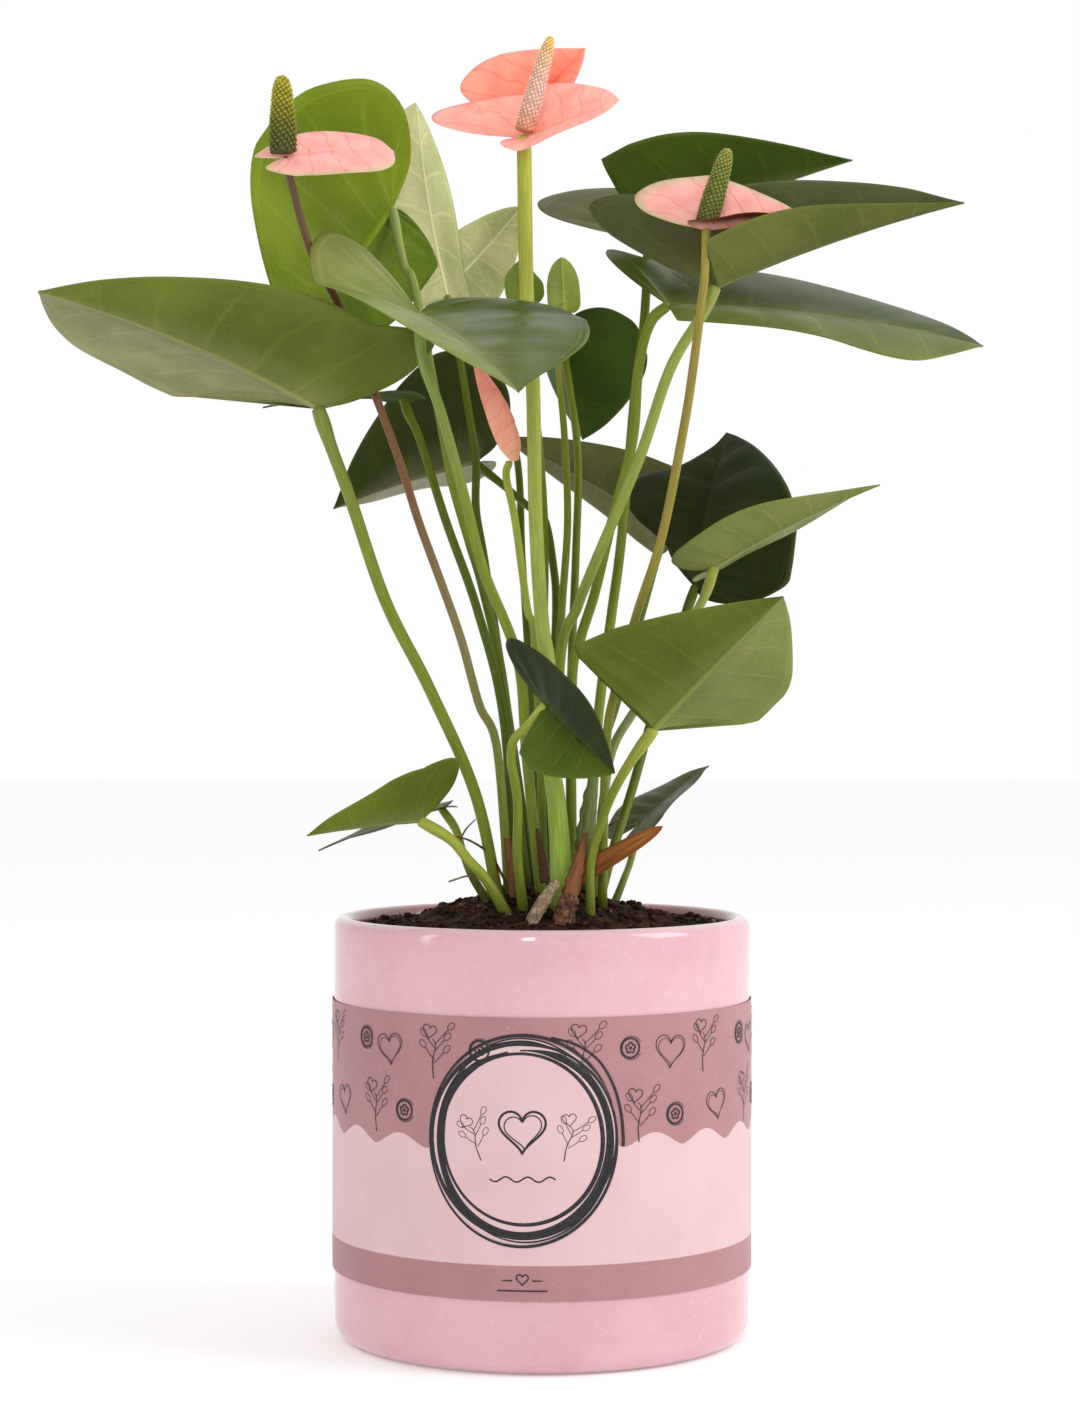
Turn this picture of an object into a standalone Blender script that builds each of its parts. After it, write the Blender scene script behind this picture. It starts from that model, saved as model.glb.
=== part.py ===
"""A potted anthurium: a glazed pot with a printed paper sleeve round it, a mound of soil, and a plant
of twenty-one heart-shaped leaves, three open flowers and one furled bud, each on its own stalk."""
from math import cos, exp, pi, radians, sin

import bpy
import numpy as np

# Pot, sleeve and soil, in millimetres.
POT_DIAMETER = 140.0
POT_HEIGHT = 141.0
POT_WALL = 6.4
POT_FLOOR = 8.0
POT_SEGMENTS = 44
SLEEVE_GAP = 0.3
SLEEVE_THICKNESS = 0.4
SLEEVE_FOOT = 24.0
SLEEVE_HEIGHT = 89.5
SOIL_GAP = 0.5
SOIL_BELOW_RIM = 4.5
SOIL_MOUND = 14.0
SOIL_MOUND_SPREAD = 26.0

# Plant, in millimetres. PLANT_SCALE moves every leaf, stalk and flower out from the rim's centre.
PLANT_SCALE = 1.0
LEAF_THICKNESS = 0.9
SPATHE_THICKNESS = 0.9
STALK_THICKNESS_SCALE = 1.0
STALK_GAP = 0.4
BLADE_GAP = 1.1
STALK_SIDES = 6

MM = 0.001
POT_RADIUS = POT_DIAMETER / 2
POT_BORE = POT_RADIUS - POT_WALL

for old in list(bpy.data.objects):
    bpy.data.objects.remove(old, do_unlink=True)


def material(name, colour, roughness, metallic=0.0):
    made = bpy.data.materials.new(name)
    made.use_nodes = True
    shader = made.node_tree.nodes["Principled BSDF"]
    shader.inputs["Base Color"].default_value = (*colour, 1)
    shader.inputs["Roughness"].default_value = roughness
    shader.inputs["Metallic"].default_value = metallic
    return made


def node(name, points, faces, look):
    mesh = bpy.data.meshes.new(name)
    mesh.from_pydata([tuple(p * MM) for p in np.asarray(points, float)], [], faces)
    mesh.materials.append(look)
    mesh.validate()
    mesh.update()
    made = bpy.data.objects.new(name, mesh)
    bpy.context.scene.collection.objects.link(made)
    return made


GLAZE = material("pink_glaze", (0.78, 0.42, 0.47), 0.16)
PAPER = material("printed_paper", (0.78, 0.58, 0.60), 0.55)
SOIL = material("peat_soil", (0.030, 0.014, 0.007), 0.95)
LEAF = material("leaf_green", (0.075, 0.135, 0.018), 0.42)
STALK = material("stalk_green", (0.19, 0.26, 0.05), 0.45)
BROWN_STALK = material("stalk_brown", (0.17, 0.10, 0.04), 0.45)
SPATHE = material("spathe_pink", (0.86, 0.36, 0.31), 0.38)
SPATHE_DEEP = material("spathe_salmon", (0.90, 0.28, 0.19), 0.38)
SPADIX_GREEN = material("spadix_green", (0.20, 0.22, 0.02), 0.6)
SPADIX_PINK = material("spadix_pink", (0.85, 0.36, 0.24), 0.6)
BARK = material("root_bark", (0.12, 0.06, 0.03), 0.8)
STUB = material("root_stub", (0.42, 0.31, 0.20), 0.75)
DRY = material("dry_sheath", (0.36, 0.11, 0.03), 0.7)


def lathe(name, profile, look, segments):
    """A closed solid turned about Z from (radius, height) points, the first and last on the axis."""
    turns = np.arange(segments) * 2 * pi / segments
    points = [(0, 0, profile[0][1])]
    for radius, height in profile[1:-1]:
        points += [(radius * cos(a), radius * sin(a), height) for a in turns]
    points.append((0, 0, profile[-1][1]))
    rings = len(profile) - 2
    faces = []
    for i in range(segments):
        j = (i + 1) % segments
        faces.append((0, 1 + j, 1 + i))
        for ring in range(rings - 1):
            a = 1 + ring * segments
            b = a + segments
            faces.append((a + i, a + j, b + j, b + i))
        last = 1 + (rings - 1) * segments
        faces.append((last + i, last + j, len(points) - 1))
    return node(name, points, faces, look)


# The pot: a thrown cylinder with a rounded foot and a rolled lip, open at the top, flat underneath.
R, H, B = POT_RADIUS, POT_HEIGHT, POT_BORE
LIP = POT_WALL / 2
POT_PROFILE = [
    (0, 0),
    (R - 6.5, 0),
    (R - 3.6, 0.9),
    (R - 1.6, 2.8),
    (R - 0.6, 6.5),
    (R, 16.0),
    (R, H - LIP - 2.4),
    (R - 0.4, H - LIP + 0.6),
    (R - 1.5, H - 0.6),
    (R - LIP, H),
    (B + 1.3, H - 0.6),
    (B + 0.3, H - LIP + 0.6),
    (B, H - LIP - 2.4),
    (B, POT_FLOOR + 7),
    (B - 2, POT_FLOOR + 2),
    (B - 7, POT_FLOOR),
    (0, POT_FLOOR),
]
lathe("pot", POT_PROFILE, GLAZE, POT_SEGMENTS)

# The paper sleeve: one closed band round the straight part of the pot.
turns = np.arange(POT_SEGMENTS) * 2 * pi / POT_SEGMENTS
inner = POT_RADIUS + SLEEVE_GAP
outer = inner + SLEEVE_THICKNESS
low, high = SLEEVE_FOOT, SLEEVE_FOOT + SLEEVE_HEIGHT
points = []
for radius, height in ((inner, low), (outer, low), (outer, high), (inner, high)):
    points += [(radius * cos(a), radius * sin(a), height) for a in turns]
faces = []
for i in range(POT_SEGMENTS):
    j = (i + 1) % POT_SEGMENTS
    for a, b in ((0, 1), (1, 2), (2, 3), (3, 0)):
        a, b = a * POT_SEGMENTS, b * POT_SEGMENTS
        faces.append((a + i, a + j, b + j, b + i))
node("paper_sleeve", points, faces, PAPER)


def soil_height(x, y):
    """The soil's surface above the rim's plane, in millimetres."""
    spread = 2 * SOIL_MOUND_SPREAD**2
    return SOIL_MOUND * exp(-(x * x + y * y) / spread) - SOIL_BELOW_RIM


# The soil: a plug that fills the pot's bore with a small clearance, mounded round the stalks.
bore = POT_BORE - SOIL_GAP
floor = POT_FLOOR + SOIL_GAP
SOIL_PROFILE = [(0, floor), (bore - 7, floor), (bore - 2, floor + 2), (bore, floor + 7)]
for share in (1.0, 0.86, 0.72, 0.58, 0.44, 0.3, 0.15):
    SOIL_PROFILE.append((bore * share, POT_HEIGHT + soil_height(bore * share, 0)))
SOIL_PROFILE.append((0, POT_HEIGHT + soil_height(0, 0)))
lathe("soil", SOIL_PROFILE, SOIL, 32)


def smooth(points, count):
    """Points evenly spaced by knot along the smooth curve through the ones given."""
    p = np.array(points, float)
    p = np.vstack([2 * p[0] - p[1], p, 2 * p[-1] - p[-2]])
    t = np.linspace(0, len(p) - 3 - 1e-9, count)
    i = t.astype(int)
    u = (t - i)[:, None]
    a, b, c, d = p[i], p[i + 1], p[i + 2], p[i + 3]
    return 0.5 * (
        2 * b + (c - a) * u + (2 * a - 5 * b + 4 * c - d) * u**2 + (3 * b - a - 3 * c + d) * u**3
    )


def placed(points):
    """Plant coordinates, in millimetres from the rim's centre, as coordinates of the whole object."""
    return np.array(points, float) * PLANT_SCALE + (0, 0, POT_HEIGHT)


# Half outlines of a blade, from the sinus round the basal lobe to the tip. Below 0 the first number is
# a share of the lobe's length, above 0 of the blade's length. The second is a share of the half width.
HEART = ((0, 0), (-0.5, 0.09), (-0.92, 0.3), (-1, 0.6), (-0.62, 0.87), (0, 1), (0.2, 0.96),
         (0.4, 0.82), (0.6, 0.59), (0.78, 0.34), (0.91, 0.13), (1, 0))
ROUND = ((0, 0), (-0.6, 0.1), (-1, 0.36), (-0.95, 0.66), (-0.4, 0.92), (0.1, 1), (0.3, 0.99),
         (0.5, 0.86), (0.7, 0.62), (0.86, 0.36), (0.95, 0.15), (1, 0))
WEDGE = ((0, 0), (-0.42, 0.12), (-0.85, 0.42), (-1, 0.8), (-0.8, 0.98), (-0.1, 0.98), (0.2, 0.87),
         (0.4, 0.71), (0.6, 0.5), (0.78, 0.28), (0.91, 0.11), (1, 0))
BROAD = ((0, 0), (-0.6, 0.1), (-1, 0.36), (-0.95, 0.66), (-0.4, 0.92), (0.1, 1), (0.3, 1),
         (0.5, 0.95), (0.7, 0.8), (0.86, 0.55), (0.95, 0.28), (1, 0))
SHOULDER = ((0, 0), (-0.42, 0.12), (-0.85, 0.42), (-1, 0.8), (-0.8, 0.98), (-0.1, 1), (0.2, 0.98),
            (0.4, 0.85), (0.6, 0.62), (0.78, 0.36), (0.91, 0.15), (1, 0))
OVAL = ((0, 0), (-0.5, 0.12), (-1, 0.3), (-0.7, 0.5), (0, 0.74), (0.25, 0.92), (0.5, 1),
        (0.7, 0.93), (0.86, 0.7), (0.95, 0.42), (1, 0))
LATE = ((0, 0), (-0.5, 0.1), (-1, 0.25), (-0.6, 0.35), (0, 0.42), (0.25, 0.55), (0.45, 0.74),
        (0.62, 0.92), (0.78, 0.88), (0.9, 0.5), (1, 0))
SKEWED = ((0, 0), (0.05, 0.12), (0.14, 0.3), (0.28, 0.49), (0.35, 0.76), (0.5, 1), (0.65, 0.88),
          (0.73, 0.45), (0.87, 0.13), (1, 0))
CORNER = ((0, 0), (-0.3, 0.15), (-0.8, 0.45), (-1, 0.75), (-0.7, 0.93), (-0.15, 0.99), (0.15, 0.86),
          (0.35, 0.7), (0.55, 0.52), (0.75, 0.31), (0.9, 0.13), (1, 0))


def axes(start, end, roll, arch):
    """A blade's length along its midrib, its bend, and its directions forward, across and up at its start."""
    run = np.array(end, float) - start
    chord = np.linalg.norm(run)
    x = run / chord
    bend = radians(arch)
    length = chord * (bend / 2) / sin(bend / 2) if bend else chord
    up = np.array((0, 0, 1.0)) - x[2] * x
    if np.linalg.norm(up) < 0.3:
        up = np.array((0, 1.0, 0)) - x[1] * x
    up /= np.linalg.norm(up)
    across = np.cross(up, x)
    turn = radians(roll)
    across, up = across * cos(turn) + up * sin(turn), up * cos(turn) - across * sin(turn)
    forward = x * cos(bend / 2) + up * sin(bend / 2)
    normal = up * cos(bend / 2) - x * sin(bend / 2)
    return length, bend, forward, across, normal


def half_blade(side, start, end, roll, arch, raised, outline, width, lobe, fold, sweep, rows, columns):
    """A grid of points over one half of a blade, from its midrib out to its margin."""
    length, bend, forward, across, normal = axes(start, end, roll, arch)
    o = smooth(outline, rows)
    share = np.clip(o[:, 1], 0, 1)
    reach = np.where(o[:, 0] < 0, o[:, 0] * lobe, o[:, 0] * length)
    reach = reach + sweep * share * (1 - np.clip(o[:, 0], 0, 1))
    spread = share * width
    rib = length * np.clip((np.linspace(0, 1, rows) - 0.33) / 0.67, 0, 1) ** 1.15
    grid = np.zeros((rows, columns, 3))
    for j, v in enumerate(np.linspace(0, 1, columns)):
        along = rib + (reach - rib) * v
        out = spread * v * cos(radians(fold)) * side
        rise = spread * v * sin(radians(fold)) + sin(radians(raised)) * np.clip(-along, 0, None)
        rise = rise + WAVE * v**2 * np.sin(np.linspace(0, 1, rows) * 14.5 + side) * np.sin(
            pi * np.linspace(0, 1, rows)
        )
        angle = bend / length * np.clip(along, 0, None)
        ahead = np.where(along > 0, np.sin(angle) * length / bend, along) if bend else along
        drop = -(1 - np.cos(angle)) * length / bend if bend else 0 * along
        grid[:, j] = (
            start
            + np.outer(ahead + np.sin(angle) * rise, forward)
            + np.outer(drop + np.cos(angle) * rise, normal)
            + np.outer(out, across)
        )
    if sweep:
        grid[rib == 0] = start
    return grid


WAVE = 0.8


def blade(name, start, end, roll, arch, raised, left, right, thickness, look, rows=12, columns=4):
    """A closed, thin blade. left and right are (outline, width, lobe, fold, sweep) of each half."""
    start, end = placed([start, end])
    halves = []
    for side, (outline, width, lobe, fold, sweep) in ((1, left), (-1, right)):
        width, lobe, sweep = width * PLANT_SCALE, lobe * PLANT_SCALE, sweep * PLANT_SCALE
        halves.append(half_blade(side, start, end, roll, arch, raised, outline, width, lobe, fold,
                                 sweep, rows, columns))
    points, index, triangles = [], {}, []

    def at(point):
        key = tuple(np.round(point, 3))
        if key not in index:
            index[key] = len(points)
            points.append(point)
        return index[key]

    for side, grid in zip((1, -1), halves):
        for i in range(1, rows - 1):
            for j in range(columns - 1):
                a, b = at(grid[i, j]), at(grid[i + 1, j])
                c, d = at(grid[i + 1, j + 1]), at(grid[i, j + 1])
                for tri in ((a, b, c), (a, c, d)):
                    if len(set(tri)) == 3:
                        triangles.append(tri if side > 0 else tri[::-1])
    points = np.array(points)
    normals = np.zeros_like(points)
    for a, b, c in triangles:
        face = np.cross(points[b] - points[a], points[c] - points[a])
        for corner in (a, b, c):
            normals[corner] += face
    normals /= np.linalg.norm(normals, axis=1)[:, None] + 1e-12
    count = len(points)
    both = np.vstack([points + normals * thickness / 2, points - normals * thickness / 2])
    edges = {}
    for a, b, c in triangles:
        for edge in ((a, b), (b, c), (c, a)):
            edges[edge] = True
    faces = list(triangles) + [(c + count, b + count, a + count) for a, b, c in triangles]
    for a, b in edges:
        if (b, a) not in edges:
            faces += [(b, a, a + count), (b, a + count, b + count)]
    return node(name, both, faces, look)


def tube(name, points, radii, look, rings=9, sides=STALK_SIDES, grounded=True, short=0.0, aside=None):
    """A round stalk along the smooth curve through points. radii run from its foot to its end. It stops
    short of the last point by that many millimetres, and aside moves its end off a blade's underside."""
    route = [list(p) for p in points]
    last = np.array(route[-1], float) - route[-2]
    route[-1] = list(route[-1] - last / np.linalg.norm(last) * short)
    if aside is not None:
        route[-1] = list(route[-1] + aside)
        route[-2] = list(route[-2] + 0.6 * aside)
    if grounded:
        x, y, _ = route[0]
        route[0][2] = soil_height(x * PLANT_SCALE, y * PLANT_SCALE) / PLANT_SCALE + STALK_GAP
        route[0][2] += 0.4 * radii[0] * STALK_THICKNESS_SCALE
    line = smooth(placed(route), rings)
    ahead = np.gradient(line, axis=0)
    ahead /= np.linalg.norm(ahead, axis=1)[:, None]
    if grounded:
        ahead[0] = (0, 0, 1)
    knots = np.linspace(0, 1, len(radii))
    sizes = np.interp(np.linspace(0, 1, rings), knots, radii) * STALK_THICKNESS_SCALE
    side = np.cross(ahead[0], (0.3, 0.9, 0.1))
    rows = []
    for centre, direction, size in zip(line, ahead, sizes):
        side = side - np.dot(side, direction) * direction
        side /= np.linalg.norm(side)
        other = np.cross(direction, side)
        angles = np.arange(sides) * 2 * pi / sides
        rows += [centre + size * (side * cos(a) + other * sin(a)) for a in angles]
    faces = [tuple(range(sides))[::-1], tuple(range((rings - 1) * sides, rings * sides))]
    for ring in range(rings - 1):
        for i in range(sides):
            j = (i + 1) % sides
            a, b = ring * sides, (ring + 1) * sides
            faces.append((a + i, a + j, b + j, b + i))
    return node(name, rows, faces, look)


# Leaves. Each has its stalk's end, its tip, roll, arch and lobe raise in degrees, then each half.
LEAVES = {
    "01": ((-74, -20, 169), (-163, -45, 205), 0, 14, 30, (SHOULDER, 34, 22, 60, 0), (BROAD, 45, 1, -14, 42)),
    "02": ((-40, -30, 199), (-7, -105, 167), 4, 14, 32, (HEART, 55, 10, -2, 0), (HEART, 38, 32, 18, 0)),
    "03": ((-48, 30, 177), (-96, 20, 173), 0, 15, 0, (HEART, 18, 6, 0, 0), (HEART, 13, 5, 0, 0)),
    "04": ((-52, 32, 243), (-81, 10, 191), 85, 20, 0, (ROUND, 54, 29, 5, 0), (ROUND, 34, 4, 15, 0)),
    "05": ((-34, 73, 217), (-46, 82, 289), 58, 10, 0, (BROAD, 24, 4, 10, 0), (BROAD, 23, 4, 10, 0)),
    "06": ((-37, 103, 221), (-7, 99, 254), -95, 10, 0, (ROUND, 16, 3, 10, 0), (ROUND, 16, 3, 10, 0)),
    "07": ((8, 60, 213), (7, 60, 230), 0, 5, 0, (BROAD, 6, 3, 10, 0), (BROAD, 6, 3, 10, 0)),
    "08": ((-6, 55, 215), (-8, 40, 226), 0, 5, 0, (ROUND, 7, 3, 10, 0), (ROUND, 7, 3, 10, 0)),
    "09": ((-24, 65, 157), (-74, 55, 140), 0, 10, 0, (HEART, 42, 16, 70, 0), (HEART, 30, 10, -10, 0)),
    "10": ((7, 76, 203), (15, 88, 167), 0, 10, 0, (ROUND, 33, 10, 40, 0), (ROUND, 31, 9, 10, 0)),
    "11": ((38, 52, 235), (108, 32, 260), 0, 10, 38, (HEART, 36, 34, 42, 0), (HEART, 37, 1, 50, 0)),
    "12": ((57, -30, 208), (136, -50, 233), 0, 10, 60, (HEART, 36, 30, 64, 0), (HEART, 22, 1, 36, 6)),
    "13": ((43, 10, 207), (149, 0, 192), 0, 14, 35, (ROUND, 36, 22, 26, 0), (LATE, 31, 1, -26, 10)),
    "14": ((54, 45, 112), (67, 80, 169), 0, 20, 0, (SKEWED, 31, 8, 10, 0), (ROUND, 37, 8, 10, 0)),
    "15": ((45, 90, 134), (-15, 98, 169), 60, 20, 0, (HEART, 22, 4, 10, 0), (HEART, 12, 4, 10, 0)),
    "16": ((58, -5, 117), (112, -20, 144), 0, 10, 10, (HEART, 18, 10, 0, 0), (HEART, 18, 10, 36, 0)),
    "17": ((36, -45, 63), (77, -60, 106), -65, 8, 0, (ROUND, 37, 1, 38, 21), (CORNER, 39, 4, 0, 6)),
    "18": ((1, -55, 71), (23, -75, 50), 80, 10, 0, (ROUND, 15, 26, 20, 0), (ROUND, 17, 1, 20, 6)),
    "19": ((-40, -30, 33), (-76, -45, 29), 0, 6, 20, (WEDGE, 18, 13, 72, 0), (WEDGE, 12, 6, 0, 0)),
    "20": ((-34, 0, 36), (-75, -6, 22), 0, 10, 0, (HEART, 9, 5, 0, 0), (HEART, 11, 5, 10, 0)),
    "21": ((34, 40, 29), (59, 50, 49), 10, 10, 0, (HEART, 13, 10, 10, 0), (HEART, 13, 10, 10, 0)),
}
for name, (start, end, roll, arch, raised, left, right) in LEAVES.items():
    blade("leaf_" + name, start, end, roll, arch, raised, left, right, LEAF_THICKNESS, LEAF)

# Leaf stalks, from the soil up to just short of the blade.
PETIOLES = {
    "01": ((2.0, 1.9), (-14, -14, 11), (-22, -18, 41), (-37, -22, 76), (-51.5, -24, 105), (-63, -23.5, 138.5),
           (-69.5, -22, 156), (-74, -20, 169)),
    "02": ((1.8, 1.6), (0, -14, 11), (-5, -18, 53), (-8, -22, 86), (-19, -28, 115), (-25, -30, 138),
           (-33, -31.5, 167), (-39, -32, 184), (-40, -30, 199)),
    "03": ((1.6, 1.4), (-9, 3, 10), (-13, 8, 66), (-22, 14, 103), (-33, 20, 134), (-42, 26, 162),
           (-46, 28, 171), (-48, 30, 177)),
    "04": ((1.7, 1.5), (-5, 12, 10), (-13, 16, 76), (-20, 18, 110), (-25, 20, 127), (-31, 22, 148),
           (-35, 25, 169), (-44, 30, 215), (-48, 32, 224), (-52, 32, 243)),
    "05": ((1.5, 1.3), (-2, 16, 9), (-13, 24, 76), (-20, 34, 121), (-23, 38, 139), (-23, 40, 156),
           (-25, 39, 170), (-28, 38, 188), (-31, 54, 204), (-34, 73, 217)),
    "06": ((1.4, 1.2), (1, 20, 9), (-4, 44, 76), (-7, 66, 122), (-10, 84, 165), (-26, 98, 205),
           (-37, 102, 221)),
    "07": ((1.4, 1.1), (7, 8, 10), (5, 14, 72), (7, 22, 105), (9, 34, 135), (8, 46, 165), (6, 54, 193),
           (8, 60, 213)),
    "08": ((1.3, 1.0), (2, 10, 10), (0, 18, 72), (1, 26, 105), (1, 36, 135), (-1, 44, 165),
           (-5, 50, 192), (-6, 55, 215)),
    "09": ((1.5, 1.3), (4, 17, 9), (4, 30, 72), (5, 42, 105), (4, 48, 120), (1, 54, 136), (-5, 56, 141),
           (-13, 60, 148), (-24, 65, 157)),
    "10": ((1.5, 1.3), (10, 14, 10), (10, 34, 72), (12, 54, 122), (13, 66, 158), (10, 73, 185),
           (7, 76, 203)),
    "11": ((1.8, 1.6), (15, 9, 10), (19, 18, 63), (24, 28, 101), (27, 34, 122), (30, 40, 150),
           (33, 46, 182), (36, 50, 204), (38, 52, 235)),
    "12": ((1.9, 1.8), (4, -5, 11), (6, -5, 84), (12, -12, 104), (18, -19, 119), (32, -28, 152),
           (42, -32, 181), (52, -32, 198), (57, -30, 208)),
    "13": ((1.8, 1.6), (10, -4, 11), (10, 0, 76), (13, 2, 93), (18, 4, 109), (24, 6, 134), (31, 8, 161),
           (33, 10, 185), (37, 11, 201), (43, 10, 207)),
    "14": ((1.7, 1.5), (19, 4, 10), (24, 8, 21), (31, 18, 42), (39, 30, 69), (47, 40, 93), (54, 45, 112)),
    "15": ((1.5, 1.3), (12, 20, 9), (17, 40, 41), (27, 60, 72), (37, 78, 106), (45, 90, 134)),
    "16": ((1.6, 1.5), (17, -6, 11), (21, -8, 42), (24, -8, 57), (31, -8, 69), (46, -7, 93),
           (54, -5, 106), (58, -5, 117)),
    "17": ((2.0, 2.0), (16, -29, 6), (16, -30, 18), (19, -30, 31), (23, -34, 42), (29, -40, 53),
           (36, -45, 63)),
    "18": ((1.6, 1.4), (-6, -24, 7), (-8, -30, 21), (-8, -36, 40), (-10, -42, 53), (-9, -46, 60),
           (-4, -50, 65), (1, -55, 71)),
    "19": ((1.8, 1.6), (-11, -26, 4), (-18, -28, 13), (-24, -30, 20), (-30, -31, 27), (-40, -30, 33)),
    "20": ((1.4, 1.2), (-17, -10, 7), (-23, -10, 13), (-26, -8, 20), (-29, -4, 29), (-34, 0, 36)),
    "21": ((1.3, 1.1), (24, 12, 4), (28, 22, 10), (31, 32, 17), (34, 40, 29)),
}
for name, (radii, *route) in PETIOLES.items():
    start, end, roll, arch = LEAVES[name][:4]
    under = -axes(np.array(start, float), end, roll, arch)[4]
    off = under * (radii[1] + LEAF_THICKNESS / 2 + BLADE_GAP) * 0.8
    tube("petiole_" + name, route, radii, STALK, short=BLADE_GAP, aside=off)

# Flowers: a bare stalk, a coloured spathe at its end and a spadix standing on that.
tube("peduncle_a", [(-11, -6, 11), (-15, -8, 56), (-21, -10, 71), (-27, -13, 93), (-34, -16, 113),
                    (-41, -14, 132), (-48, -13, 154), (-57, -12, 178), (-67, -15, 203), (-75, -21, 218),
                    (-79, -27, 230), (-84, -34, 250)], (1.5, 1.3), BROWN_STALK, rings=12, short=1.4)
tube("peduncle_b", [(7, -25, 12), (5, -25, 36), (2, -22, 59), (2, -16, 84), (0, -11, 99), (-2, -4, 133),
                    (-3, -1, 181), (-5, 0, 208), (-6, -2, 262)], (3.8, 2.6, 2.4, 2.3, 2.2), STALK, rings=12,
     short=2.6)
tube("peduncle_c", [(20, -16, 11), (21, -30, 56), (24, -34, 76), (31, -38, 101), (39, -42, 126),
                    (46, -44, 161), (49, -44, 180), (52, -42, 203), (53, -40, 211), (53.5, -38, 226)],
     (1.5, 1.3), BROWN_STALK, rings=12, short=1.4)
blade("spathe_a", (-84, -34, 250), (-49, -22, 254), 30, 14, 0, (OVAL, 15, 9, 2, 0),
      (OVAL, 18, 8, -4, 0), SPATHE_THICKNESS, SPATHE)
blade("spathe_b", (-6, -2, 262), (26, -12, 273), 0, 0, 23, (ROUND, 26, 30, 46, 0),
      (BROAD, 11, 7, -32, 0), SPATHE_THICKNESS, SPATHE)
blade("bract_b", (-4, 22, 276), (15, 22, 297), 90, 0, 0, (WEDGE, 24, 12, 0, 0),
      (ROUND, 12, 1, 55, 6), SPATHE_THICKNESS, SPATHE_DEEP)
blade("spathe_c", (53.5, -38, 226), (87, -36, 230), 0, 0, 10, (HEART, 22, 21, 58, 0),
      (ROUND, 10, 6, 25, 0), SPATHE_THICKNESS, SPATHE)


def spadix(name, foot, end, size, look):
    """A tapering spike on a short narrow neck, round at its end."""
    shares = (0, 0.05, 0.12, 0.3, 0.55, 0.8, 0.93, 0.98, 1)
    widths = (0.3, 0.42, 1, 1, 0.95, 0.82, 0.68, 0.42, 0.12)
    a, b = np.array(foot, float), np.array(end, float)
    route = [tuple(a + (b - a) * s) for s in shares]
    return tube(name, route, [w * size for w in widths], look, rings=9, sides=8, grounded=False)


spadix("spadix_a", (-84.5, -35, 252), (-85, -34, 274), 4.1, SPADIX_GREEN)
spadix("spadix_b", (-6, -3.5, 264.5), (3, -2, 294), 3.1, SPADIX_PINK)
spadix("spadix_c", (53.5, -40, 228.5), (60.5, -38, 250.5), 3.2, SPADIX_GREEN)

# The furled bud on its stalk.
tube("bud_stalk", [(1, 0, 10), (-2, 2, 89), (-5, 3, 104), (-9, 4, 133), (-12, 4, 148), (-11, 3.2, 152)],
     (1.4, 1.2), STALK)
tube("bud", [(-10, 3, 153), (-12, 3, 160), (-15, 3, 170), (-20, 4, 180), (-23.5, 4, 190)],
     (0.4, 2.2, 3.9, 3.4, 1.7, 0.3), SPATHE, rings=9, sides=8, grounded=False)

# The foot of the plant: an old stump, a broken root and a dry leaf sheath.
tube("crown_stump", [(7.5, -37, 1), (7.6, -37, 4), (8.5, -36, 8)], (3.4, 3.0, 2.4), BARK, rings=4, sides=8)
tube("root_stub", [(-3.5, -40, 2), (-1, -38, 5), (4.5, -34, 12.5)], (1.9, 2.2, 1.4), STUB, rings=5, sides=8)
blade("dry_sheath", (13, -24.5, 15), (40, -24, 31), 80, 20, 0, (ROUND, 4.5, 1, 0, 0),
      (ROUND, 4.5, 1, 20, 0), 0.8, DRY, rows=10, columns=3)
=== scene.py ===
"""The looks of a potted anthurium: glazed pot, printed paper sleeve, compost, leaves, flowers and bud."""
from math import cos, exp, pi, radians, sin

import bpy
import numpy as np
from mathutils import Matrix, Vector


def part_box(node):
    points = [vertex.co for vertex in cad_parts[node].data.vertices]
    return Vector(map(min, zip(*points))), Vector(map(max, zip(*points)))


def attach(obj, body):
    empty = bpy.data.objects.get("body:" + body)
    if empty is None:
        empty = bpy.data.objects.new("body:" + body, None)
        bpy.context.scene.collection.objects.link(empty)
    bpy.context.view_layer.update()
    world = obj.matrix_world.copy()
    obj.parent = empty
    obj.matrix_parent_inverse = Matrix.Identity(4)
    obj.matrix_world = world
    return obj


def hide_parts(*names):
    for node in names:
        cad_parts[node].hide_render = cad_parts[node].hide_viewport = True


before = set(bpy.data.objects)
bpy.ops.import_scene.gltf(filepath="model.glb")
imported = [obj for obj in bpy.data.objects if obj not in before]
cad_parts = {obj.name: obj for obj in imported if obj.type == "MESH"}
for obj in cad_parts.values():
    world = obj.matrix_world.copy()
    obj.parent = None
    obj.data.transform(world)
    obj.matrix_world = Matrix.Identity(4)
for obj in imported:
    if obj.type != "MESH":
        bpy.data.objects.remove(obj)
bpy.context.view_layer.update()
MM = 0.001


# The view and the light. The camera stands level with the middle of the stalks, a metre in front of the
# pot. The floor is a wide pale board, and the light is a white room with one large soft window panel at
# the right and two narrow ones that give the glaze its highlights.
CAMERA_AT = (0.0, -1.080, 0.2203)
LENS_MM = 81.5
SHIFT = (-0.0013, -0.0188)

scene = bpy.context.scene
camera = bpy.data.objects.new("camera", bpy.data.cameras.new("camera"))
camera.location = CAMERA_AT
camera.rotation_euler = (radians(90), 0, 0)
camera.data.lens = LENS_MM
camera.data.sensor_width = 36
camera.data.shift_x, camera.data.shift_y = SHIFT
camera.data.clip_start = 0.01
scene.collection.objects.link(camera)
scene.camera = camera
scene.view_settings.view_transform = "Standard"

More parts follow.
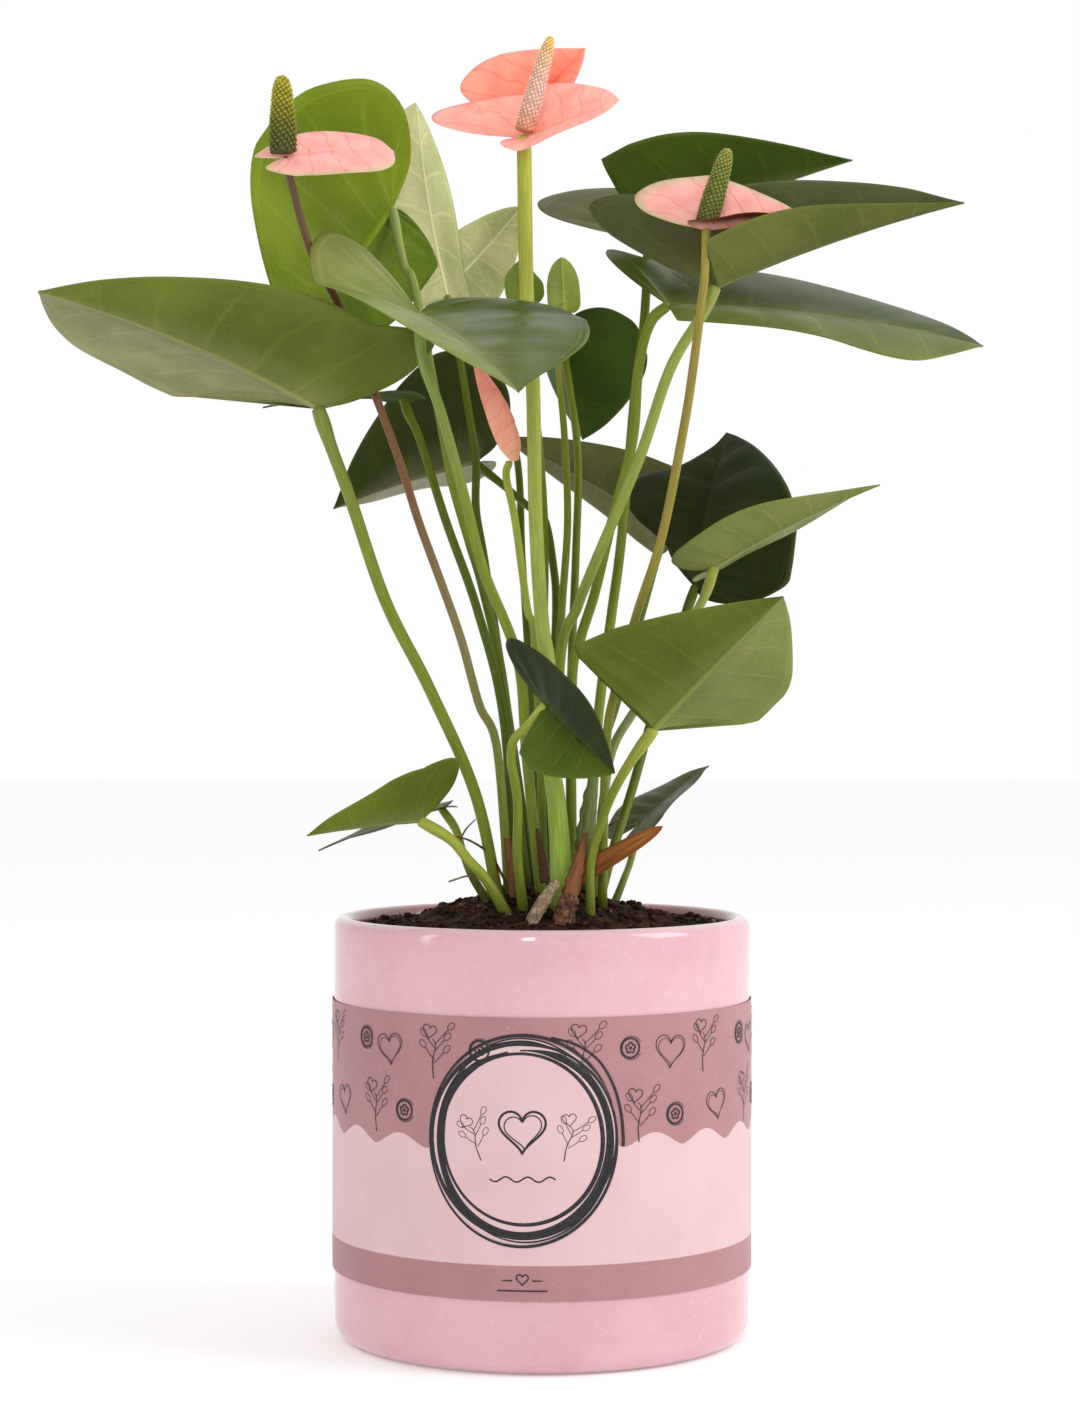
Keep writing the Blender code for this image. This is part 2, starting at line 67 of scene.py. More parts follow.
world = bpy.data.worlds.new("white_room")
world.use_nodes = True
room = world.node_tree
room.nodes["Background"].inputs["Color"].default_value = (1, 1, 1, 1)
looking = room.nodes.new("ShaderNodeTexCoord")
depth = room.nodes.new("ShaderNodeVectorMath")
depth.operation = "DOT_PRODUCT"
depth.inputs[1].default_value = (0.45, 0.9, 0)
fade = room.nodes.new("ShaderNodeMapRange")
fade.inputs["From Min"].default_value = -0.5
fade.inputs["From Max"].default_value = 0.7
fade.inputs["To Min"].default_value = 0.62
fade.inputs["To Max"].default_value = 1.0
room.links.new(looking.outputs["Generated"], depth.inputs[0])
room.links.new(depth.outputs["Value"], fade.inputs["Value"])
room.links.new(fade.outputs["Result"], room.nodes["Background"].inputs["Strength"])
scene.world = world


def soft_panel(name, at, towards, size, power):
    """A rectangular soft light of that size and power, turned to face a point."""
    lamp = bpy.data.lights.new(name, "AREA")
    lamp.shape = "RECTANGLE"
    lamp.size, lamp.size_y = size
    lamp.energy = power
    made = bpy.data.objects.new(name, lamp)
    made.location = at
    aim = np.array(towards, float) - at
    made.rotation_euler = (
        float(np.arctan2(np.hypot(aim[0], aim[1]), -aim[2])),
        0,
        float(np.arctan2(aim[1], aim[0]) - pi / 2),
    )
    scene.collection.objects.link(made)


soft_panel("panel_right", (1.5, -0.45, 0.9), (0, 0, 0.2), (0.8, 1.2), 13)
soft_panel("panel_left", (-1.35, -0.65, 0.6), (0, 0, 0.2), (0.16, 0.9), 1.8)
soft_panel("panel_front", (-0.2, -1.6, 0.75), (0, 0, 0.2), (0.16, 0.9), 5.0)

floor = bpy.data.objects.new("floor", bpy.data.meshes.new("floor"))
FLOOR_HALF = 6.0
floor.data.from_pydata(
    [(x, y, -0.0004) for x, y in ((-1, -1), (1, -1), (1, 1), (-1, 1))], [], [(0, 1, 2, 3)]
)
floor.scale = (FLOOR_HALF, FLOOR_HALF, 1)
floor_paint = bpy.data.materials.new("pale_floor")
floor_paint.use_nodes = True
board = floor_paint.node_tree.nodes["Principled BSDF"]
board.inputs["Base Color"].default_value = (0.93, 0.93, 0.93, 1)
board.inputs["Roughness"].default_value = 0.9
board.inputs["Specular IOR Level"].default_value = 0.1
board.inputs["Emission Color"].default_value = (1, 1, 1, 1)
board.inputs["Emission Strength"].default_value = 0.22
floor.data.materials.append(floor_paint)
scene.collection.objects.link(floor)


# The pot: slip-cast stoneware in a glossy pink glaze, with a rolled lip and a rounded foot. The glaze
# runs a little thin and pale over the lip, and holds faint mottling and a few pinholes.
POT_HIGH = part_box("pot")[1]
RIM = POT_HIGH.z / MM
POT_R = POT_HIGH.x / MM
POT_TURNS = 176


def smooth(points, count):
    """Points evenly spaced by knot along the smooth curve through the ones given."""
    p = np.array(points, float)
    p = np.vstack([2 * p[0] - p[1], p, 2 * p[-1] - p[-2]])
    t = np.linspace(0, len(p) - 3 - 1e-9, count)
    i = t.astype(int)
    u = (t - i)[:, None]
    a, b, c, d = p[i], p[i + 1], p[i + 2], p[i + 3]
    return 0.5 * (
        2 * b + (c - a) * u + (2 * a - 5 * b + 4 * c - d) * u**2 + (3 * b - a - 3 * c + d) * u**3
    )


def piece(name, points, faces, finishes, marks=None, tones=None, uvs=None):
    """A smooth mesh from points in millimetres. marks are the faces' finishes by number, tones a colour
    for each point, and uvs a pair for each corner of each face."""
    mesh = bpy.data.meshes.new(name)
    mesh.from_pydata([tuple(p) for p in np.asarray(points, float) * MM], [], faces)
    for finish in finishes:
        mesh.materials.append(finish)
    if marks is not None:
        mesh.polygons.foreach_set("material_index", marks)
    if tones is not None:
        colours = mesh.color_attributes.new("tone", "FLOAT_COLOR", "POINT")
        flat = np.hstack([np.asarray(tones, float), np.ones((len(points), 1))])
        colours.data.foreach_set("color", flat.ravel().astype(np.float32))
    if uvs is not None:
        layer = mesh.uv_layers.new(name="UVMap")
        layer.data.foreach_set("uv", np.array([x for face in uvs for x in face], np.float32).ravel())
    mesh.shade_smooth()
    mesh.update()
    made = bpy.data.objects.new(name, mesh)
    scene.collection.objects.link(made)
    return made


def turned(profile, turns, wobble=0.0):
    """Points and faces of a closed shape turned about Z from (radius, height) points, ends on the axis."""
    angles = np.arange(turns) * 2 * pi / turns
    points = [(0, 0, profile[0][1])]
    for radius, height in profile[1:-1]:
        sway = 1 + wobble * np.sin(angles * 3 + height * 0.05) + wobble * np.sin(angles * 5 + 2)
        points += [(radius * s * cos(a), radius * s * sin(a), height) for a, s in zip(angles, sway)]
    points.append((0, 0, profile[-1][1]))
    rings, faces = len(profile) - 2, []
    for i in range(turns):
        j = (i + 1) % turns
        faces.append((0, 1 + j, 1 + i))
        for ring in range(rings - 1):
            a, b = 1 + ring * turns, 1 + (ring + 1) * turns
            faces.append((a + i, a + j, b + j, b + i))
        last = 1 + (rings - 1) * turns
        faces.append((last + i, last + j, len(points) - 1))
    return points, faces


def new_finish(name, roughness, specular=0.5):
    """A material with its node tree and its shader."""
    made = bpy.data.materials.new(name)
    made.use_nodes = True
    shader = made.node_tree.nodes["Principled BSDF"]
    shader.inputs["Roughness"].default_value = roughness
    shader.inputs["Specular IOR Level"].default_value = specular
    return made, made.node_tree, shader


def put(tree, kind, inputs=None, **settings):
    """A new shader node. An input is a value, or the output of another node to link from."""
    made = tree.nodes.new("ShaderNode" + kind)
    for key, value in settings.items():
        setattr(made, key, value)
    for key, value in (inputs or {}).items():
        if isinstance(value, bpy.types.NodeSocket):
            tree.links.new(value, made.inputs[key])
        else:
            made.inputs[key].default_value = value
    return made


def noise(tree, place, scale, detail, roughness=0.5):
    """A smooth noise over the object's own coordinates, or over those of a mapping."""
    where = place.outputs["Object" if "Object" in place.outputs else "Vector"]
    settings = {"Vector": where, "Scale": scale, "Detail": detail, "Roughness": roughness}
    return put(tree, "TexNoise", settings).outputs["Fac"]


def maths(tree, operation, *values):
    """The output of one sum. Each value is a number or an output."""
    return put(tree, "Math", dict(enumerate(values)), operation=operation).outputs[0]


def mixed(tree, share, a, b, blend="MIX"):
    """The output of a colour mix. Each of the three is a value or an output."""
    made = put(tree, "Mix", data_type="RGBA", blend_type=blend)
    for key, value in ((0, share), (6, a), (7, b)):
        if isinstance(value, bpy.types.NodeSocket):
            tree.links.new(value, made.inputs[key])
        elif key:
            made.inputs[key].default_value = (*value, 1)
        else:
            made.inputs[key].default_value = value
    return made.outputs[2]


def ramped(tree, source, low, high):
    """source as a share, 0 below low and 1 above high."""
    made = put(tree, "MapRange", {0: source, 1: low, 2: high}, clamp=True, interpolation_type="SMOOTHSTEP")
    return made.outputs[0]


def bumped(tree, shader, height, distance, strength=1.0):
    made = put(tree, "Bump", {"Height": height, "Distance": distance, "Strength": strength})
    tree.links.new(made.outputs["Normal"], shader.inputs["Normal"])
    return made


GLAZE_PINK = (0.680, 0.395, 0.432)
GLAZE_DEEP = (0.640, 0.350, 0.392)
GLAZE_THIN = (0.780, 0.530, 0.550)

glaze, tree, shader = new_finish("pink_glaze", 0.11)
shader.inputs["Coat Weight"].default_value = 0.35
shader.inputs["Coat Roughness"].default_value = 0.05
place = put(tree, "TexCoord")
cloud = noise(tree, place, 26.0, 4.0, 0.6)
grain = noise(tree, place, 420.0, 3.0)
colour = mixed(tree, ramped(tree, cloud, 0.38, 0.66), GLAZE_PINK, GLAZE_DEEP)
fleck = maths(tree, "MULTIPLY", ramped(tree, grain, 0.54, 0.74), 0.22)
colour = mixed(tree, fleck, colour, GLAZE_THIN)
height = put(tree, "SeparateXYZ", {0: place.outputs["Object"]}).outputs["Z"]
thin = ramped(tree, height, (RIM - 2.2) * MM, (RIM + 0.3) * MM)
colour = mixed(tree, thin, colour, GLAZE_THIN)
# Inside the bore the glaze is multiplied darker and browner: painted shade on the inner wall, with a little
# peat dust.
round_way = put(tree, "VectorMath", {0: place.outputs["Object"], 1: (1, 1, 0)}, operation="MULTIPLY")
radius = put(tree, "VectorMath", {0: round_way.outputs[0]}, operation="LENGTH").outputs["Value"]
shaded_dusty_inside = mixed(tree, 1.0, colour, (0.66, 0.52, 0.50), "MULTIPLY")
colour = mixed(tree, ramped(tree, radius, 0.0664, 0.0648), colour, shaded_dusty_inside)
tree.links.new(colour, shader.inputs["Base Color"])
ripple = noise(tree, place, 38.0, 2.0)
bumped(tree, shader, ripple, 0.0008, 0.35)

LIP = 3.2
BORE = POT_R - 2 * LIP
LIP_ARC = [
    (POT_R - LIP + LIP * cos(a) * (1.0 if a < pi / 2 else 0.92), RIM - LIP + LIP * sin(a))
    for a in np.linspace(0, pi, 13)
]
FOOT_ARC = [(POT_R - 6.5 + 6.3 * sin(a), 6.3 - 6.3 * cos(a)) for a in np.linspace(0, pi / 2, 9)]
POT_PROFILE = [(0, 0.5), (POT_R - 12, 0.5), (POT_R - 9, 0.0)] + FOOT_ARC
POT_PROFILE += [(POT_R, h) for h in (16, 22, 60, 100, 116, 126)] + LIP_ARC
POT_PROFILE += [(BORE, 130), (BORE, 90), (BORE, 30)]
POT_PROFILE += [(BORE - 2, 12), (BORE - 7, 8.2), (BORE - 20, 8), (0, 8)]
points, faces = turned(POT_PROFILE, POT_TURNS, 0.0004)
pot = piece("glazed_pot", points, faces, [glaze])
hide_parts("pot")
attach(pot, "root")


# The sleeve: a strip of matt coated paper, printed in two soft mauve bands on pale pink and glued round
# the pot with a narrow lap at the back. The upper band ends in a scalloped edge.
SLEEVE_LOW, SLEEVE_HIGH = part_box("paper_sleeve")
SLEEVE_R = SLEEVE_HIGH.x / MM
SLEEVE_Z = SLEEVE_LOW.z / MM
SLEEVE_TOP = SLEEVE_HIGH.z / MM
PAPER_THICK = 0.25
STRIPE_TOP = SLEEVE_Z + 11.3
SCALLOP_AT = SLEEVE_Z + 49.5
SLEEVE_TURNS = 420
SCALLOPS = 19


def scallop(angle):
    """Height of the printed band's scalloped edge at an angle, which is 0 in front and grows rightwards."""
    turn = SCALLOPS * (angle - (40.5 - 4.9 * sin(angle)) / SLEEVE_R)
    hump = (0.5 + 0.5 * cos(turn)) ** 0.75
    return SCALLOP_AT - 2.0 + 4.3 * hump + 0.7 * sin(3 * angle + 1)


def printed(name, colour, deep, speck):
    """Matt coated paper in one printed colour, with fine fibre and a slight unevenness in the ink."""
    made, tree, shader = new_finish(name, 0.46, 0.35)
    place = put(tree, "TexCoord")
    ink = noise(tree, place, 55.0, 5.0)
    fibre = noise(tree, place, 1500.0, 3.0)
    shade = mixed(tree, ramped(tree, ink, 0.35, 0.7), colour, deep)
    shade = mixed(tree, ramped(tree, fibre, 0.55, 0.8), shade, speck)
    tree.links.new(shade, shader.inputs["Base Color"])
    bumped(tree, shader, fibre, 0.00006, 0.5)
    return made


PALE_PRINT = printed("paper_pale", (0.680, 0.470, 0.480), (0.655, 0.445, 0.456), (0.74, 0.55, 0.56))
MAUVE_PRINT = printed("paper_mauve", (0.405, 0.200, 0.205), (0.375, 0.180, 0.188), (0.48, 0.27, 0.275))

# Rows of the strip from its foot up: height share inside each printed zone, and the zone's finish.
points, faces, marks = [], [], []
angles = [2 * pi * k / SLEEVE_TURNS - pi for k in range(SLEEVE_TURNS + 1)]
LAP_MM = 9.0
for k, angle in enumerate(angles):
    edge = scallop((angle + pi) % (2 * pi) - pi if abs(angle) < pi - 1e-6 else pi)
    heights = [SLEEVE_Z + (STRIPE_TOP - SLEEVE_Z) * s for s in (0, 0.5, 1)]
    heights += [STRIPE_TOP + (edge - STRIPE_TOP) * s for s in (0.25, 0.5, 0.75, 1)]
    heights += [edge + (SLEEVE_TOP - edge) * s for s in (0.2, 0.4, 0.6, 0.8, 1)]
    lap = max(0.0, 1 - (pi - abs(angle)) * SLEEVE_R / LAP_MM) if angle > 0 else 0.0
    for height in heights:
        share = (height - SLEEVE_Z) / (SLEEVE_TOP - SLEEVE_Z)
        swell = 0.10 * sin(3 * angle + 4 * share) * sin(pi * share) + 0.28 * min(1.0, 4 * lap)
        radius = SLEEVE_R - 0.12 + swell
        points.append((radius * sin(angle), -radius * cos(angle), height))
ROWS = 12
for k in range(SLEEVE_TURNS):
    for row in range(ROWS - 1):
        a, b = k * ROWS + row, (k + 1) * ROWS + row
        faces.append((a, b, b + 1, a + 1))
        marks.append(1 if row < 2 or row >= 6 else 0)
sleeve = piece("printed_sleeve", points, faces, [PALE_PRINT, MAUVE_PRINT], marks)
ends = np.zeros(len(sleeve.data.edges), bool)
for k, edge in enumerate(sleeve.data.edges):
    ends[k] = all(c % ROWS == 0 for c in edge.vertices) or all(c % ROWS == ROWS - 1 for c in edge.vertices)
sleeve.data.edges.foreach_set("use_edge_sharp", ends)
paper = sleeve.modifiers.new("paper", "SOLIDIFY")
paper.thickness = PAPER_THICK * MM
paper.offset = -1
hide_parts("paper_sleeve")
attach(sleeve, "root")


# The line drawings on the sleeve: black ink, put on as a thin raised film. A loose brush ring with a
# heart inside is at the front, and small hearts, sprigs and circled flowers are scattered over the upper
# band.
INK_R = SLEEVE_R + 0.06
RING_AT = (-6.2, SLEEVE_Z + 50.8)
RING_HALF = (31.6, 33.4)

ink_points, ink_faces = [], []


def onto_sleeve(along, height, lift=0.0):
    angle = along / SLEEVE_R
    radius = INK_R + lift + 0.10 * sin(3 * angle + 4 * (height - SLEEVE_Z) / (SLEEVE_TOP - SLEEVE_Z))
    return (radius * sin(angle), -radius * cos(angle), height)


def stroke(line, width, lift=0.0, closed=False):
    """One ink line through (along, height) points on the sleeve, with its width in millimetres at each."""
    line = np.array(line, float)
    widths = np.broadcast_to(np.array(width, float), len(line))
    if closed:
        ahead = np.roll(line, -1, axis=0) - np.roll(line, 1, axis=0)
    else:
        ahead = np.gradient(line, axis=0)
    ahead /= np.linalg.norm(ahead, axis=1)[:, None] + 1e-9
    across = np.stack([-ahead[:, 1], ahead[:, 0]], axis=1)
    first = len(ink_points)
    for p, c, w in zip(line, across, widths):
        for side in (-0.5, 0.5):
            ink_points.append(onto_sleeve(*(p + c * w * side), lift))
    for i in range(len(line) if closed else len(line) - 1):
        a, b = first + 2 * i, first + 2 * ((i + 1) % len(line))
        ink_faces.append((a, b, b + 1, a + 1))


def turns_of(centre, half, begin, end, count, wander=0.0, phase=0.0):
    """Points of an arc or ring of the given half sizes, from one angle to another in degrees."""
    line = []
    for a in np.radians(np.linspace(begin, end, count)):
        r = 1 + wander * sin(2 * a + phase) + 0.5 * wander * sin(3 * a - phase)
        line.append((centre[0] + half[0] * r * cos(a), centre[1] + half[1] * r * sin(a)))
    return line


# The disc is bare paper, laid over the mauve band.
disc_points = [onto_sleeve(RING_AT[0], RING_AT[1], -0.03)]
disc_faces = []
DISC_RINGS, DISC_TURNS = 9, 72
for ring in range(1, DISC_RINGS + 1):
    share = ring / DISC_RINGS
    for a in np.arange(DISC_TURNS) * 2 * pi / DISC_TURNS:
        along = RING_AT[0] + (RING_HALF[0] - 1.2) * share * cos(a)
        disc_points.append(onto_sleeve(along, RING_AT[1] + (RING_HALF[1] - 1.2) * share * sin(a), -0.03))
for i in range(DISC_TURNS):
    j = (i + 1) % DISC_TURNS
    disc_faces.append((0, 1 + i, 1 + j))
    for ring in range(DISC_RINGS - 1):
        a, b = 1 + ring * DISC_TURNS, 1 + (ring + 1) * DISC_TURNS
        disc_faces.append((a + i, b + i, b + j, a + j))
disc = piece("label_disc", disc_points, disc_faces, [PALE_PRINT])
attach(disc, "root")

# The ring, as one brush would draw it round and round, each turn a little off the last.
RING_STROKES = [
    # half sizes as shares, offset, width, from, to, wander, phase
    (0.975, 1.0, -0.2, 0.0, 0.85, 20, 376, 0.004, 0.4),
    (0.925, 0.925, -0.6, 0.2, 1.6, 60, 410, 0.010, 1.9),
    (0.875, 0.87, 0.3, -0.3, 1.9, 100, 452, 0.012, 0.2),
    (0.82, 0.81, -0.2, 0.4, 1.2, 150, 506, 0.008, 2.9),
    (0.895, 0.95, 0.7, 0.0, 0.6, 200, 560, 0.016, 4.1),
    (0.935, 0.89, 0.9, 0.6, 0.75, 300, 640, 0.010, 5.0),
    (0.855, 0.90, -0.9, -0.7, 1.1, 130, 330, 0.012, 3.3),
]
for half_x, half_z, off_x, off_z, width, begin, end, wander, phase in RING_STROKES:
    centre = (RING_AT[0] + off_x, RING_AT[1] + off_z)
    half = (RING_HALF[0] * half_x, RING_HALF[1] * half_z)
    line = turns_of(centre, half, begin, end, 150, wander, phase)
    taper = np.clip(np.minimum(np.linspace(0, 14, 150), np.linspace(14, 0, 150)), 0.25, 1)
    swell = 1 + 0.25 * np.sin(np.linspace(0, 9, 150) + phase)
    stroke(line, width * taper * swell, 0.01)
TAIL = [(3, 107.4), (11.5, 104.8), (18.6, 99.5), (23.3, 91.5), (25.7, 83), (26.4, 76), (26.4, 72.5)]
stroke(smooth(TAIL, 40), np.linspace(0.7, 1.1, 40), 0.012)


def heart_line(centre, size, lean=0.0, count=44, open_at=0.0):
    """A heart's outline of the given height, leaning by that many degrees."""
    line = []
    for t in np.linspace(open_at, 2 * pi - open_at, count):
        x = 16 * sin(t) ** 3
        y = 13 * cos(t) - 5 * cos(2 * t) - 2 * cos(3 * t) - cos(4 * t)
        x, y = x * size / 30, (y + 2.5) * size / 30
        turn = radians(lean)
        line.append((centre[0] + x * cos(turn) - y * sin(turn), centre[1] + x * sin(turn) + y * cos(turn)))
    return line


def sketched_heart(centre, size, lean=0.0):
    stroke(heart_line(centre, size, lean), 0.27, 0.01)
    stroke(heart_line((centre[0] + 0.3, centre[1] - 0.2), size * 0.86, lean + 4, open_at=0.25), 0.18, 0.012)


# Each leaf's place up the stem, its side and its reach, as shares of the sprig's height.
SPRIG_LEAVES = ((0.28, 1, 0.26), (0.34, -1, 0.26), (0.5, 1, 0.27), (0.56, -1, 0.24), (0.62, 1, 0.36))


def sprig(foot, height, lean=0.0):
    """A stem with small open leaves in pairs and a heart at its top."""
    def at(x, y):
        turn = radians(lean)
        along, up = x * cos(turn) + y * sin(turn), y * cos(turn) - x * sin(turn)
        return (foot[0] + along * height, foot[1] + up * height)

    stem = smooth([at(0, 0), at(-0.03, 0.3), at(0.02, 0.6), at(-0.05, 0.72)], 16)
    stroke(stem, np.linspace(0.36, 0.2, 16), 0.01)
    stroke(heart_line(at(-0.12, 0.83), height * 0.27, -12 + lean), 0.26, 0.01)
    for y, side, reach in SPRIG_LEAVES:
        root = np.array(at(0, y))
        tip = np.array(at(side * reach * 0.75, y + reach * 0.8))
        stroke(smooth([root, (root + tip) / 2 + (0, -0.15), tip], 8), 0.22, 0.01)
        along = (tip - root) / (np.linalg.norm(tip - root) + 1e-9)
        out = np.array((-along[1], along[0]))
        size = height * 0.085
        loop = [
            tip + along * size * (1 - cos(a)) + out * size * 0.62 * sin(a)
            for a in np.linspace(0, 2 * pi, 15)[:-1]
        ]
        stroke(loop, 0.2, 0.012, closed=True)


def circled_flower(centre, half):
    """A five-petalled flower inside a thick ring with a thin one beside it."""
    stroke(turns_of(centre, (half, half), 0, 360, 40)[:-1], 0.62, 0.01, closed=True)
    stroke(turns_of((centre[0] + 0.25, centre[1]), (half + 0.7, half + 0.6), 30, 330, 36), 0.2, 0.012)
    petals = []
    for a in np.linspace(0, 2 * pi, 61)[:-1]:
        r = half * (0.36 + 0.2 * abs(cos(2.5 * a)))
        petals.append((centre[0] + r * sin(a), centre[1] + r * cos(a)))
    stroke(petals, 0.5, 0.01, closed=True)
    stroke(turns_of(centre, (half * 0.12, half * 0.12), 0, 360, 12)[:-1], 0.4, 0.012, closed=True)


# One run of the scattered drawings covers RUN of the strip's length, and three follow each other round it.
# They keep clear of the joint at the back. Each drawing has its place along a run and its height.
RUN = 148.0
CLEAR_OF_JOINT = 216.0
UPPER_ROW, LOWER_ROW = SLEEVE_TOP - 10.0, SLEEVE_TOP - 31.0
CIRCLED = (
    (-66, UPPER_ROW + 1), (-20, UPPER_ROW - 0.5), (29, UPPER_ROW), (-47.5, LOWER_ROW), (46, LOWER_ROW - 1),
)
HEARTS = ((-54, UPPER_ROW - 2, 10.5, 6), (44, UPPER_ROW - 2, 11, -4), (66, LOWER_ROW, 10, 8))
SPRIGS = (
    (-36, SLEEVE_TOP - 20, 2), (13, SLEEVE_TOP - 19, 3), (58.5, SLEEVE_TOP - 19.5, 4),
    (-60.5, SLEEVE_TOP - 39, -2), (32, SLEEVE_TOP - 40, 3),
)
for middle in (-RUN, 0.0, RUN):
    for along, height in CIRCLED:
        if abs(middle + along) < CLEAR_OF_JOINT:
            circled_flower((middle + along, height), 3.1)
    for along, height, size, lean in HEARTS:
        if abs(middle + along) < CLEAR_OF_JOINT:
            sketched_heart((middle + along, height), size, lean)
    for along, height, lean in SPRIGS:
        if abs(middle + along) < CLEAR_OF_JOINT:
            sprig((middle + along, height), 17.5, lean)

# Inside the ring: a plain heart between two sprigs, over a wavy line. On the lower stripe: a line with a
# small heart.
stroke(heart_line((RING_AT[0], RING_AT[1] + 2.5), 14), 0.75, 0.01)
stroke(heart_line((RING_AT[0] + 0.4, RING_AT[1] + 2.4), 11.2, 5, open_at=0.3), 0.4, 0.012)
sprig((RING_AT[0] - 13.2, RING_AT[1] - 6.5), 15.5, -16)
sprig((RING_AT[0] + 13.2, RING_AT[1] - 6.5), 15.5, 16)
wavy = [(RING_AT[0] + x, RING_AT[1] - 12.2 + 0.8 * sin(x * 0.9)) for x in np.linspace(-10.5, 10.5, 60)]
stroke(wavy, 0.5, 0.01)
STRIPE_MARK = (RING_AT[0], SLEEVE_Z + 3.4)
stroke([(STRIPE_MARK[0] + x, STRIPE_MARK[1]) for x in np.linspace(-8, 8, 20)], 0.45, 0.01)
stroke(heart_line((STRIPE_MARK[0], STRIPE_MARK[1] + 3.4), 3.6), 0.4, 0.01)
for side in (-1, 1):
    bar = [(STRIPE_MARK[0] + side * x, STRIPE_MARK[1] + 3.2) for x in np.linspace(3.2, 6.6, 6)]
    stroke(bar, np.linspace(0.5, 0.2, 6), 0.01)

ink, tree, shader = new_finish("black_ink", 0.42, 0.4)
place = put(tree, "TexCoord")
worn = noise(tree, place, 900.0, 3.0)
shade = mixed(tree, ramped(tree, worn, 0.45, 0.75), (0.008, 0.007, 0.009), (0.028, 0.022, 0.026))
tree.links.new(shade, shader.inputs["Base Color"])
drawings = piece("sleeve_drawings", ink_points, ink_faces, [ink])
film = drawings.modifiers.new("film", "SOLIDIFY")
film.thickness = 0.02 * MM
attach(drawings, "root")


# The compost: dark, crumbly peat with coarse fibre, heaped a little round the stalks and falling to a few
# millimetres under the rim. Loose crumbs and a few fibres and pale grains lie on it.
SOIL_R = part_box("soil")[1].x / MM
SOIL_EDGE = 4.5
SOIL_HEAP = 14.0
SOIL_SPREAD = 26.0


def soil_height(x, y):
    """The compost's surface above the rim's plane, in millimetres."""
    return SOIL_HEAP * exp(-(x * x + y * y) / (2 * SOIL_SPREAD**2)) - SOIL_EDGE


rng = np.random.default_rng(7)
HILLS = [
    (rng.uniform(-60, 60), rng.uniform(-60, 60), rng.uniform(1.5, 5.0), rng.uniform(-0.9, 1.3))
    for _ in range(240)
]


def crumbly(x, y):
    rise = sum(h * exp(-((x - a) ** 2 + (y - b) ** 2) / (2 * w * w)) for a, b, w, h in HILLS)
    return max(-2.2, min(2.4, rise))


peat, tree, shader = new_finish("dark_peat", 0.95, 0.12)
place = put(tree, "TexCoord")
clod = noise(tree, place, 210.0, 6.0, 0.7)
bits = put(tree, "TexVoronoi", {"Vector": place.outputs["Object"], "Scale": 520.0})
shade = mixed(tree, ramped(tree, clod, 0.38, 0.72), (0.010, 0.0045, 0.003), (0.085, 0.034, 0.016))
flecks = ramped(tree, bits.outputs["Distance"], 0.30, 0.12)
rare = noise(tree, place, 330.0, 2.0)
pale = maths(tree, "MULTIPLY", flecks, ramped(tree, rare, 0.62, 0.72))
shade = mixed(tree, pale, shade, (0.22, 0.12, 0.06))
tree.links.new(shade, shader.inputs["Base Color"])
bumped(tree, shader, clod, 0.0016, 0.9)

points, faces = [], []
SOIL_RINGS, SOIL_TURNS = 58, 150
points.append((0, 0, RIM + soil_height(0, 0) + crumbly(0, 0)))
for ring in range(1, SOIL_RINGS + 1):
    radius = (SOIL_R - 0.2) * ring / SOIL_RINGS
    for a in np.arange(SOIL_TURNS) * 2 * pi / SOIL_TURNS:
        x, y = radius * cos(a), radius * sin(a)
        points.append((x, y, RIM + soil_height(x, y) + crumbly(x, y)))
for i in range(SOIL_TURNS):
    j = (i + 1) % SOIL_TURNS
    faces.append((0, 1 + i, 1 + j))
    for ring in range(SOIL_RINGS - 1):
        a, b = 1 + ring * SOIL_TURNS, 1 + (ring + 1) * SOIL_TURNS
        faces.append((a + i, b + i, b + j, a + j))
edge = 1 + (SOIL_RINGS - 1) * SOIL_TURNS
low = len(points)
points += [(points[edge + i][0], points[edge + i][1], RIM - 30) for i in range(SOIL_TURNS)]
points.append((0, 0, RIM - 30))
for i in range(SOIL_TURNS):
    j = (i + 1) % SOIL_TURNS
    faces += [(edge + i, low + i, low + j, edge + j), (low + i, low + SOIL_TURNS, low + j)]
soil = piece("compost", points, faces, [peat])
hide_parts("soil")
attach(soil, "root")

# Crumbs: little faceted lumps, most of them peat, some bark brown and a few pale.
LUMP = np.array([
    (1, 0, 0), (-1, 0, 0), (0, 1, 0), (0, -1, 0), (0, 0, 1), (0, 0, -1),
    (0.6, 0.6, 0.6), (-0.6, 0.6, 0.55), (0.6, -0.6, 0.5), (-0.6, -0.6, 0.6),
], float)
LUMP_FACES = [
    (6, 4, 0), (6, 2, 4), (6, 0, 2), (7, 4, 2), (7, 1, 4), (7, 2, 1), (8, 0, 4), (8, 4, 3),
    (8, 3, 0), (9, 4, 1), (9, 3, 4), (9, 1, 3), (0, 5, 2), (2, 5, 1), (1, 5, 3), (3, 5, 0),
]
PEAT = (0.034, 0.015, 0.008)
BARK_BIT = (0.10, 0.045, 0.020)
PALE_BIT = (0.24, 0.15, 0.085)
CRUMBS = 1150
points, faces, tones = [], [], []
